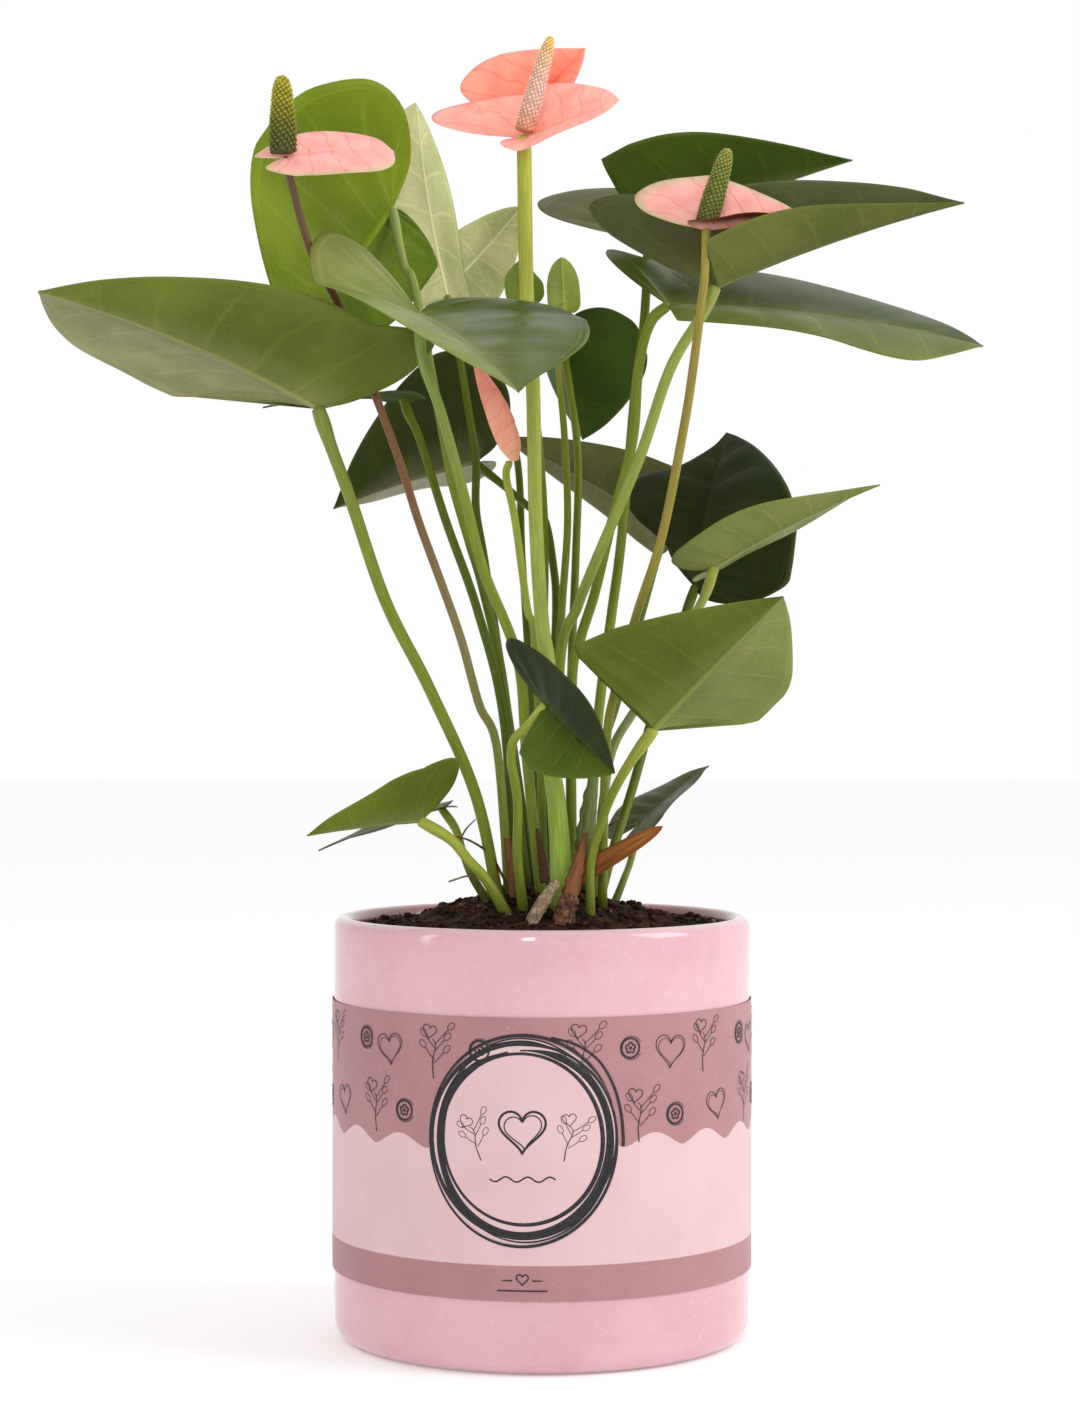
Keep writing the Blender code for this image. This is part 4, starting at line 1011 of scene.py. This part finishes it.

# Each leaf has its stalk's end, its tip, roll, arch and lobe raise in degrees, then each half, then a
# green for each half. These greens hold painted light and shade: a half turned to the light or showing a
# grey sheen is painted paler, a half in shade darker, and the brightest yellow-greens are painted light
# shining through the leaf from behind.
LEAVES = {
    "01": ((-74, -20, 169), (-163, -45, 205), 0, 14, 30, (SHOULDER, 34, 22, 60, 0),
           (BROAD, 45, 1, -14, 42), (0.112, 0.145, 0.016), (0.230, 0.235, 0.095)),
    "02": ((-40, -30, 199), (-7, -105, 167), 4, 14, 32, (HEART, 55, 10, -2, 0), (HEART, 38, 32, 18, 0),
           (0.075, 0.118, 0.008), (0.225, 0.270, 0.050)),
    "03": ((-48, 30, 177), (-96, 20, 173), 0, 15, 0, (HEART, 18, 6, 0, 0), (HEART, 13, 5, 0, 0),
           (0.050, 0.075, 0.015), (0.050, 0.075, 0.015)),
    "04": ((-52, 32, 243), (-81, 10, 191), 85, 20, 0, (ROUND, 54, 29, 5, 0), (ROUND, 34, 4, 15, 0),
           (0.175, 0.250, 0.006), (0.110, 0.180, 0.006)),
    "05": ((-34, 73, 217), (-46, 82, 289), 58, 10, 0, (BROAD, 24, 4, 10, 0), (BROAD, 23, 4, 10, 0),
           (0.500, 0.510, 0.240), (0.520, 0.530, 0.260)),
    "06": ((-37, 103, 221), (-7, 99, 254), -95, 10, 0, (ROUND, 16, 3, 10, 0), (ROUND, 16, 3, 10, 0),
           (0.520, 0.540, 0.270), (0.560, 0.570, 0.290)),
    "07": ((8, 60, 213), (7, 60, 230), 0, 5, 0, (BROAD, 6, 3, 10, 0), (BROAD, 6, 3, 10, 0),
           (0.280, 0.350, 0.060), (0.320, 0.390, 0.090)),
    "08": ((-6, 55, 215), (-8, 40, 226), 0, 5, 0, (ROUND, 7, 3, 10, 0), (ROUND, 7, 3, 10, 0),
           (0.180, 0.250, 0.020), (0.220, 0.290, 0.040)),
    "09": ((-24, 65, 157), (-74, 55, 140), 0, 10, 0, (HEART, 42, 16, 70, 0), (HEART, 30, 10, -10, 0),
           (0.034, 0.048, 0.007), (0.220, 0.210, 0.110)),
    "10": ((7, 76, 203), (15, 88, 167), 0, 10, 0, (ROUND, 33, 10, 40, 0), (ROUND, 31, 9, 10, 0),
           (0.035, 0.075, 0.003), (0.032, 0.070, 0.003)),
    "11": ((38, 52, 235), (108, 32, 260), 0, 10, 38, (HEART, 36, 34, 42, 0), (HEART, 37, 1, 50, 0),
           (0.160, 0.170, 0.070), (0.048, 0.085, 0.005)),
    "12": ((57, -30, 208), (136, -50, 233), 0, 10, 60, (HEART, 36, 30, 64, 0), (HEART, 22, 1, 36, 6),
           (0.085, 0.100, 0.035), (0.112, 0.128, 0.022)),
    "13": ((43, 10, 207), (149, 0, 192), 0, 14, 35, (ROUND, 36, 22, 26, 0), (LATE, 31, 1, -26, 10),
           (0.060, 0.082, 0.012), (0.170, 0.200, 0.034)),
    "14": ((54, 45, 112), (67, 80, 169), 0, 20, 0, (SKEWED, 31, 8, 10, 0), (ROUND, 37, 8, 10, 0),
           (0.026, 0.032, 0.010), (0.020, 0.030, 0.004)),
    "15": ((45, 90, 134), (-15, 98, 169), 60, 20, 0, (HEART, 22, 4, 10, 0), (HEART, 12, 4, 10, 0),
           (0.120, 0.125, 0.040), (0.140, 0.145, 0.060)),
    "16": ((58, -5, 117), (112, -20, 144), 0, 10, 10, (HEART, 18, 10, 0, 0), (HEART, 18, 10, 36, 0),
           (0.190, 0.220, 0.060), (0.195, 0.225, 0.055)),
    "17": ((36, -45, 63), (77, -60, 106), -65, 8, 0, (ROUND, 37, 1, 38, 21), (CORNER, 39, 4, 0, 6),
           (0.180, 0.210, 0.048), (0.095, 0.125, 0.010)),
    "18": ((1, -55, 71), (23, -75, 50), 80, 10, 0, (ROUND, 15, 26, 20, 0), (ROUND, 17, 1, 20, 6),
           (0.014, 0.022, 0.004), (0.070, 0.110, 0.006)),
    "19": ((-40, -30, 33), (-76, -45, 29), 0, 6, 20, (WEDGE, 18, 13, 72, 0), (WEDGE, 12, 6, 0, 0),
           (0.110, 0.150, 0.010), (0.170, 0.190, 0.080)),
    "20": ((-34, 0, 36), (-75, -6, 22), 0, 10, 0, (HEART, 9, 5, 0, 0), (HEART, 11, 5, 10, 0),
           (0.055, 0.075, 0.020), (0.060, 0.085, 0.020)),
    "21": ((34, 40, 29), (59, 50, 49), 10, 10, 0, (HEART, 13, 10, 10, 0), (HEART, 13, 10, 10, 0),
           (0.125, 0.145, 0.065), (0.110, 0.130, 0.050)),
}
PALE_GREEN = (0.30, 0.34, 0.10)
# Each half's green carries painted light and shade as well as the leaf's own colour.
for number, (start, end, roll, arch, raised, left, right, left_green_with_light, right_green_with_light) in LEAVES.items():
    def leaf_tint(side, v, t, greens_with_light=(left_green_with_light, right_green_with_light)):
        share = 0.5 - 0.5 * side * min(1.0, v * 3.5)
        # A thin pale rim is painted round each blade: light shining through the thin margin.
        lit_through_rim = max(0.0, v - 0.975) * 14
        foot = 0.22 * max(0.0, 1 - t * 2.2) * max(0.0, 1 - v * 3)
        cloudy = 1 + 0.10 * sin(7 * t + 3 * side * v)
        pale = 0.35 * lit_through_rim + foot
        left_tone, right_tone = greens_with_light
        return [
            (a * (1 - share) + b * share) * cloudy + p * pale
            for a, b, p in zip(left_tone, right_tone, PALE_GREEN)
        ]

    small = left[1] < 12
    made = blade("leaf_blade_" + number, start, end, roll, arch, raised, left, right,
                 [LEAF_TOP, LEAF_UNDER], leaf_tint, rows=40 if small else 67,
                 rib_height=0.3 if small else 0.6, quilt=0.08 if small else 0.24)
    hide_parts("leaf_" + number)
    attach(made, "root")


# The open flowers. A spathe is a waxy coloured leaf, deeper pink along its sunken veins, and on the older
# flowers it turns cream and green at its rim. The spadix stands on it, packed with tiny flowers in two
# sets of spirals.
def waxy(name, vein_tint, roughness):
    """A spathe's skin: fine branching veins and a soft satin shine."""
    made, tree, shader = new_finish(name, roughness, 0.4)
    tone = put(tree, "Attribute", attribute_name="tone")
    place = put(tree, "TexCoord")
    split = put(tree, "SeparateXYZ", {0: place.outputs["UV"]})
    centre = maths(tree, "SUBTRACT", split.outputs["X"], 0.5)
    out = maths(tree, "ABSOLUTE", centre)
    wander = noise(tree, place, 130.0, 3.0)
    bent = maths(tree, "MULTIPLY_ADD", out, 0.16, split.outputs["Y"])
    stray = maths(tree, "MULTIPLY_ADD", wander, 0.10, bent)
    cycles = maths(tree, "MULTIPLY", stray, 8.0)
    part = maths(tree, "FRACT", cycles)
    off = maths(tree, "SUBTRACT", part, 0.5)
    gap = maths(tree, "ABSOLUTE", off)
    line = ramped(tree, gap, 0.085, 0.0)
    middle = ramped(tree, out, 0.022, 0.004)
    every = maths(tree, "MAXIMUM", line, middle)
    cloud = noise(tree, place, 150.0, 4.0)
    fine = noise(tree, place, 1300.0, 2.0)
    pink = mixed(tree, 1.0, tone.outputs["Color"], (0.96, 0.82, 0.84), "MULTIPLY")
    shade = mixed(tree, ramped(tree, cloud, 0.36, 0.68), tone.outputs["Color"], pink)
    strength = maths(tree, "MULTIPLY", every, 0.38)
    deep = mixed(tree, 1.0, tone.outputs["Color"], vein_tint, "MULTIPLY")
    shade = mixed(tree, strength, shade, deep)
    tree.links.new(shade, shader.inputs["Base Color"])
    relief = maths(tree, "MULTIPLY", every, -0.6)
    relief = maths(tree, "MULTIPLY_ADD", fine, 0.15, relief)
    bumped(tree, shader, relief, 0.0004, 0.55)
    # The skin glows faintly in its own colour: painted light that brightens the spathes and the bud without
    # a lamp.
    tree.links.new(shade, shader.inputs["Emission Color"])
    shader.inputs["Emission Strength"].default_value = 0.15
    light = put(tree, "BsdfTranslucent")
    glow = mixed(tree, 1.0, shade, (1.15, 0.9, 0.8), "MULTIPLY")
    tree.links.new(glow, light.inputs["Color"])
    blend = put(tree, "MixShader", {0: 0.28, 1: shader.outputs[0], 2: light.outputs[0]})
    tree.links.new(blend.outputs[0], tree.nodes["Material Output"].inputs["Surface"])
    return made


SPATHE_SKIN = waxy("spathe_skin", (0.86, 0.45, 0.50), 0.36)
PINK = np.array((0.97, 0.55, 0.49))
CREAM = np.array((0.72, 0.62, 0.40))
LIME = np.array((0.42, 0.50, 0.20))
SALMON = np.array((0.99, 0.60, 0.50))
DEEP_SALMON = np.array((0.97, 0.33, 0.20))
# A dark red, painted as shade on the near half of the third spathe.
SHADOW_RED = np.array((0.16, 0.045, 0.02))


def blended(a, b, share):
    share = max(0.0, min(1.0, share))
    return np.asarray(a) * (1 - share) + np.asarray(b) * share


def tint_a(side, v, t):
    """Pink, with a cream and green rim that is widest round the lobes."""
    colour = blended(PINK, CREAM, (v - 0.80) * 6 if side < 0 else (v - 0.93) * 6)
    return blended(colour, blended(LIME, CREAM, v), (0.36 - t) * 4 * v)


def tint_b(side, v, t):
    return blended(SALMON, (0.95, 0.36, 0.22), 0.7 * (1 - v) * (1 - t))


def tint_bract(side, v, t):
    return blended(DEEP_SALMON, SALMON, v * v * 0.5)


def tint_c(side, v, t):
    """Pink, cream-green at the rim of the far lobe. The near half is painted darker pink, and dark red
    towards its tail: painted shade.
    """
    if side < 0:
        return blended(PINK * 0.85, SHADOW_RED, (v - 0.3) * 2.4 * min(1.0, 2 * t))
    colour = blended(PINK, CREAM, (v - 0.80) * 6)
    return blended(colour, LIME, (0.30 - t) * 3 * v)


SPATHES = {
    "spathe_a": ("spathe_pink", tint_a, (-84, -34, 250), (-49, -22, 254), 30, 14, 0,
                 (OVAL, 15, 9, 2, 0, 0.06), (OVAL, 18, 8, -4, 0, 0.03)),
    "spathe_b": ("spathe_pink", tint_b, (-6, -2, 262), (26, -12, 273), 0, 0, 23, (ROUND, 26, 30, 46, 0),
                 (BROAD, 11, 7, -32, 0)),
    "bract_b": ("spathe_salmon", tint_bract, (-4, 22, 276), (15, 22, 297), 90, 0, 0,
                (WEDGE, 24, 12, 0, 0), (ROUND, 12, 1, 55, 6)),
    "spathe_c": ("spathe_pink", tint_c, (53.5, -38, 226), (87, -36, 230), 0, 0, 10,
                 (HEART, 22, 21, 58, 0), (ROUND, 8, 6, 20, 0)),
}
for name, (slot, tint, start, end, roll, arch, raised, left, right) in SPATHES.items():
    made = blade("flower_" + name, start, end, roll, arch, raised, left, right,
                 [SPATHE_SKIN, SPATHE_SKIN], tint, rows=61, wave=0.5, quilt=0.16, body=0.6,
                 rib_height=0.2, veins=8.0)
    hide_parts(name)
    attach(made, "root")

grainy, tree, shader = new_finish("spadix_grain", 0.5, 0.35)
shader.inputs["Subsurface Weight"].default_value = 0.1
shader.inputs["Subsurface Scale"].default_value = 0.001
tone = put(tree, "Attribute", attribute_name="tone")
place = put(tree, "TexCoord")
fine = noise(tree, place, 1500.0, 3.0)
dim = mixed(tree, 1.0, tone.outputs["Color"], (0.62, 0.66, 0.55), "MULTIPLY")
shade = mixed(tree, ramped(tree, fine, 0.4, 0.7), tone.outputs["Color"], dim)
tree.links.new(shade, shader.inputs["Base Color"])
bumped(tree, shader, fine, 0.0002, 0.6)

BEAD = np.array([(0, 0, 1.0)] + [(cos(a), sin(a), 0.45) for a in np.arange(6) * pi / 3]
                + [(1.05 * cos(a), 1.05 * sin(a), -0.3) for a in np.arange(6) * pi / 3])
BEAD_FACES = [(0, 1 + i, 1 + (i + 1) % 6) for i in range(6)]
BEAD_FACES += [(1 + i, 7 + i, 7 + (i + 1) % 6, 1 + (i + 1) % 6) for i in range(6)]
BEAD_FACES += [tuple(range(12, 6, -1))]


def spadix(name, foot, end, radius, beads, colours, pointed):
    """A tapering core covered in beads, each set a golden turn on from the last."""
    foot, end = placed([foot, end])
    run = end - foot
    length = np.linalg.norm(run)
    ahead = run / length
    side = np.cross(ahead, (0.2, 1, 0))
    side /= np.linalg.norm(side)
    other = np.cross(ahead, side)
    shares = np.linspace(0, 1, 25)

    def girth(share):
        belly = 0.86 + 0.14 * sin(pi * min(1, share * 1.4 + 0.1))
        return radius * belly * max(0.05, 1 - share**7) ** 0.5 * (1 - 0.16 * share)

    def shade(share):
        place = share * (len(colours) - 1)
        i = min(int(place), len(colours) - 2)
        return blended(colours[i], colours[i + 1], place - i)

    points, faces, tones = [], [], []
    sides = 18
    for share in shares:
        for a in np.arange(sides) * 2 * pi / sides:
            out = side * cos(a) + other * sin(a)
            points.append(foot + ahead * length * share + out * girth(share) * 0.93)
            # The core is painted darker than the beads, as shade in the gaps between them.
            tones.append(np.array(shade(share)) * 0.72)
    for ring in range(len(shares) - 1):
        for i in range(sides):
            j, a, b = (i + 1) % sides, ring * sides, (ring + 1) * sides
            faces.append((a + i, a + j, b + j, b + i))
    faces += [tuple(range(sides))[::-1], tuple(range((len(shares) - 1) * sides, len(shares) * sides))]
    for k in range(beads):
        share = 0.015 + 0.98 * (k + 0.5) / beads
        a = k * pi * (3 - 5**0.5)
        out = side * cos(a) + other * sin(a)
        wide = girth(share)
        lean = out + ahead * (1.6 * max(0, share - 0.9) * 4)
        lean /= np.linalg.norm(lean)
        right = np.cross(ahead, lean)
        right /= np.linalg.norm(right)
        up = np.cross(lean, right)
        centre = foot + ahead * length * share + out * wide * 0.95
        size = radius * 0.155
        first = len(points)
        for x, y, z in BEAD:
            points.append(centre + right * x * size + up * y * size + lean * z * size * pointed)
            # Each bead is painted lighter towards its outer tip and darker at its foot: painted light and
            # shade.
            lit = 0.82 + 0.4 * max(0, z)
            tones.append(np.array(shade(share)) * lit * (0.9 + 0.2 * ((k * 7) % 5) / 4))
        faces += [tuple(first + c for c in face) for face in BEAD_FACES]
    return piece(name, points, faces, [grainy], tones=tones)


SPADICES = {
    "a": ("spadix_green", (-84.5, -35, 251.5), (-85, -34, 276.5), 4.2, 270, 1.5,
          ((0.085, 0.090, 0.020), (0.17, 0.17, 0.015), (0.34, 0.31, 0.02), (0.42, 0.38, 0.03))),
    "b": ("spadix_pink", (-6, -3.5, 264), (3, -2, 296), 3.4, 380, 0.9,
          ((0.95, 0.40, 0.24), (0.97, 0.60, 0.50), (0.97, 0.62, 0.52), (0.97, 0.62, 0.42),
           (0.95, 0.55, 0.10))),
    "c": ("spadix_green", (53.5, -40, 228), (60.5, -38, 252), 3.6, 290, 1.4,
          ((0.15, 0.16, 0.03), (0.19, 0.21, 0.03), (0.23, 0.25, 0.04), (0.33, 0.33, 0.06))),
}
for letter, (slot, foot, end, radius, beads, pointed, colours) in SPADICES.items():
    made = spadix("flower_spadix_" + letter, foot, end, radius, beads, colours, pointed)
    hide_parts("spadix_" + letter)
    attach(made, "root")


# The bud: a young spathe still rolled round itself, so that its free edge winds up it as a raised seam.
BUD_ROUTE = [(-9, 3, 153.5), (-11, 3, 160), (-15, 3, 170), (-20, 4, 181), (-24, 4, 192)]
BUD_WIDTHS = (1.4, 3.9, 4.6, 3.7, 2.0, 0.3)
BUD_RINGS, BUD_SIDES = 60, 40
BUD_PALE = (0.88, 0.50, 0.36)
BUD_PINK = (0.84, 0.38, 0.28)
BUD_FOOT = (0.70, 0.52, 0.22)
line = smooth(placed(BUD_ROUTE), BUD_RINGS)
ahead = np.gradient(line, axis=0)
ahead /= np.linalg.norm(ahead, axis=1)[:, None]
size = smooth([(w, 0, 0) for w in BUD_WIDTHS], BUD_RINGS)[:, 0]
side = np.cross(ahead[0], (0.3, 0.9, 0.1))
points, faces, tones, uvs = [], [], [], []
for ring in range(BUD_RINGS):
    side = side - np.dot(side, ahead[ring]) * ahead[ring]
    side /= np.linalg.norm(side)
    other = np.cross(ahead[ring], side)
    share = ring / (BUD_RINGS - 1)
    for k in range(BUD_SIDES):
        a = 2 * pi * k / BUD_SIDES
        turn = ((a - 2.4 - 1.5 * share) / (2 * pi)) % 1
        radius = max(0.12, size[ring]) * (0.90 + 0.17 * turn**2 - 0.05 * exp(-((turn - 0.02) ** 2) * 300))
        points.append(line[ring] + radius * (side * cos(a) + other * sin(a)))
        pink = blended(BUD_PALE, BUD_PINK, share)
        tones.append(blended(pink, BUD_FOOT, 0.5 * (1 - share) ** 4))
for ring in range(BUD_RINGS - 1):
    for i in range(BUD_SIDES):
        j, a, b = (i + 1) % BUD_SIDES, ring * BUD_SIDES, (ring + 1) * BUD_SIDES
        faces.append((a + i, a + j, b + j, b + i))
        u, v, low, high = i / BUD_SIDES, (i + 1) / BUD_SIDES, ring / BUD_RINGS, (ring + 1) / BUD_RINGS
        uvs.append(((u, low), (v, low), (v, high), (u, high)))
faces += [tuple(range(BUD_SIDES))[::-1], tuple(range((BUD_RINGS - 1) * BUD_SIDES, BUD_RINGS * BUD_SIDES))]
uvs += [((0, 0),) * BUD_SIDES, ((0, 0),) * BUD_SIDES]
bud = piece("furled_bud", points, faces, [SPATHE_SKIN], tones=tones, uvs=uvs)
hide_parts("bud")
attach(bud, "root")


# The foot of the plant: an old stump with peeling skin, a broken pale root, a curled dry leaf sheath,
# thin papery strips left round the stalks, and a few wiry twigs.
def barky(name, light, dark, scale):
    made, tree, shader = new_finish(name, 0.85, 0.2)
    place = put(tree, "TexCoord")
    rough = noise(tree, place, scale, 6.0, 0.7)
    cells = {"Vector": place.outputs["Object"], "Scale": scale * 1.3}
    crack = put(tree, "TexVoronoi", cells, feature="DISTANCE_TO_EDGE")
    shade = mixed(tree, ramped(tree, rough, 0.36, 0.68), dark, light)
    cut = ramped(tree, crack.outputs["Distance"], 0.10, 0.0)
    shade = mixed(tree, cut, shade, dark)
    tree.links.new(shade, shader.inputs["Base Color"])
    bumped(tree, shader, rough, 0.0012, 0.9)
    return made


def lumpy(made, strength, scale):
    """Pushes a mesh's points in and out by a smooth noise, in millimetres."""
    for vertex in made.data.vertices:
        x, y, z = (c * scale / MM for c in vertex.co)
        push = sin(x * 1.7 + sin(y * 2.3) + z) * cos(y * 1.3 + z * 2.1 + sin(x * 0.9))
        vertex.co += vertex.normal * push * strength * MM


STUMP = barky("stump_bark", (0.34, 0.17, 0.085), (0.045, 0.020, 0.012), 240.0)
ROOT = barky("pale_root", (0.50, 0.40, 0.27), (0.20, 0.12, 0.07), 330.0)
STUMP_ROUTE = [(7.5, -37, -4), (7.3, -37, 1), (8.0, -36.5, 5), (8.8, -36, 8.5)]
made = stalk("old_stump", STUMP_ROUTE, (4.0, 3.6, 3.2, 2.6), (BROWN, BROWN), STUMP, grounded=False,
             rings=26, sides=26, joint=1.0)
lumpy(made, 0.55, 0.9)
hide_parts("crown_stump")
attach(made, "root")
ROOT_ROUTE = [(-4.2, -40, -1.5), (-2.6, -39.4, 2), (0.4, -37.5, 7), (4.6, -34.2, 13)]
made = stalk("broken_root", ROOT_ROUTE, (1.7, 2.3, 2.2, 1.5), (BROWN, BROWN), ROOT, grounded=False,
             rings=26, sides=20, joint=1.0)
lumpy(made, 0.28, 1.2)
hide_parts("root_stub")
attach(made, "root")

papery, tree, shader = new_finish("dry_sheath_skin", 0.62, 0.3)
tone = put(tree, "Attribute", attribute_name="tone")
place = put(tree, "TexCoord")
long_way = put(tree, "Mapping", {"Vector": place.outputs["UV"], "Scale": (34.0, 3.0, 1.0)})
grain = noise(tree, long_way, 1.0, 5.0)
dim = mixed(tree, 1.0, tone.outputs["Color"], (0.42, 0.36, 0.34), "MULTIPLY")
shade = mixed(tree, ramped(tree, grain, 0.36, 0.66), tone.outputs["Color"], dim)
tree.links.new(shade, shader.inputs["Base Color"])
bumped(tree, shader, grain, 0.0006, 0.8)
light = put(tree, "BsdfTranslucent")
tree.links.new(shade, light.inputs["Color"])
blend = put(tree, "MixShader", {0: 0.22, 1: shader.outputs[0], 2: light.outputs[0]})
tree.links.new(blend.outputs[0], tree.nodes["Material Output"].inputs["Surface"])


def sheath_tint(side, v, t):
    return blended((0.70, 0.26, 0.05), (0.36, 0.11, 0.03), 1.2 * abs(v - 0.4) + 0.4 * (1 - t))


made = blade("curled_sheath", (13, -24.5, 15), (40, -24, 31), 80, 20, 0, (BROAD, 3.4, 1, 0, 0, -0.5),
             (BROAD, 3.6, 1, 20, 0, 0.5), [papery, papery], sheath_tint, rows=44, wave=0.7, quilt=0.12,
             body=0.3, rib_height=0.15)
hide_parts("dry_sheath")
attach(made, "root")


def strip(name, route, widths, colour, facing=(0, -1, 0)):
    """A thin dry strip along a curve, cupped round the stalks behind it."""
    line = smooth(placed(route), 26)
    ahead = np.gradient(line, axis=0)
    ahead /= np.linalg.norm(ahead, axis=1)[:, None]
    size = np.interp(np.linspace(0, 1, 26), np.linspace(0, 1, len(widths)), widths)
    points, faces, tones, uvs = [], [], [], []
    for i, (centre, direction) in enumerate(zip(line, ahead)):
        across = np.cross(direction, facing)
        across /= np.linalg.norm(across)
        for k in range(7):
            s = k / 3 - 1
            ragged = 1 + 0.12 * sin(i * 1.7 + 3 * s)
            cup = np.array(facing) * (s * s) * size[i] * 0.55
            points.append(centre + across * size[i] * s * ragged - cup)
            # Each strip is painted darker towards its edges, where it curves back round the stalks: painted
            # shade.
            tones.append(np.array(colour) * (0.75 + 0.35 * (1 - s * s)))
    for i in range(25):
        for k in range(6):
            a, b = i * 7 + k, (i + 1) * 7 + k
            faces.append((a, a + 1, b + 1, b))
            u, v, low, high = k / 6, (k + 1) / 6, i / 25, (i + 1) / 25
            uvs.append(((u, low), (v, low), (v, high), (u, high)))
    made = piece(name, points, faces, [papery], tones=tones, uvs=uvs)
    skin = made.modifiers.new("skin", "SOLIDIFY")
    skin.thickness = 0.25 * MM
    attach(made, "root")


STRIPS = {
    "dry_strip_left": ([(-9.5, -20, 7), (-10.2, -20.5, 17), (-11.5, -20, 27)], (1.2, 1.7, 1.1),
                       (0.34, 0.15, 0.06)),
    "dry_strip_middle": ([(8.5, -37, 5), (9.8, -35, 12), (12.4, -31.5, 20), (14.5, -28, 29)],
                         (3.3, 2.6, 2.0, 0.7), (0.42, 0.17, 0.06)),
    "green_sheath": ([(13.2, -21, 16), (14.4, -21, 27), (16, -20, 40), (18, -19, 52)],
                     (2.6, 3.2, 2.4, 0.9), (0.33, 0.42, 0.13)),
    "dry_strip_back": ([(1, -19, 12), (0, -19, 20), (-1.5, -18, 30)], (1.6, 1.4, 0.5),
                       (0.20, 0.09, 0.04)),
}
for name, (route, widths, colour) in STRIPS.items():
    strip(name, route, widths, colour)

TWIGS = {
    "twig_left": ([(-12, -16, 12), (-17, -17, 21), (-24, -18, 26), (-30, -19, 27.5)], (0.5, 0.42, 0.28),
                  (0.12, 0.055, 0.04)),
    "twig_up": ([(-27, -18, 26.5), (-25, -18, 30), (-22, -17, 33)], (0.3, 0.28, 0.2), (0.12, 0.07, 0.05)),
    "twig_right": ([(15, -14, 26), (20, -15, 29.5), (27, -16, 33.5)], (0.42, 0.4, 0.25),
                   (0.26, 0.10, 0.05)),
    "pale_fibre": ([(-31, -12, 12), (-24, -14, 14), (-18, -15, 12)], (0.35, 0.3, 0.25),
                   (0.32, 0.26, 0.20)),
}
for name, (route, widths, colour) in TWIGS.items():
    skin = ROOT if name == "pale_fibre" else STUMP
    made = stalk(name, route, widths, (colour, colour), skin, grounded=False, rings=20, sides=8,
                 joint=1.0)
    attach(made, "root")
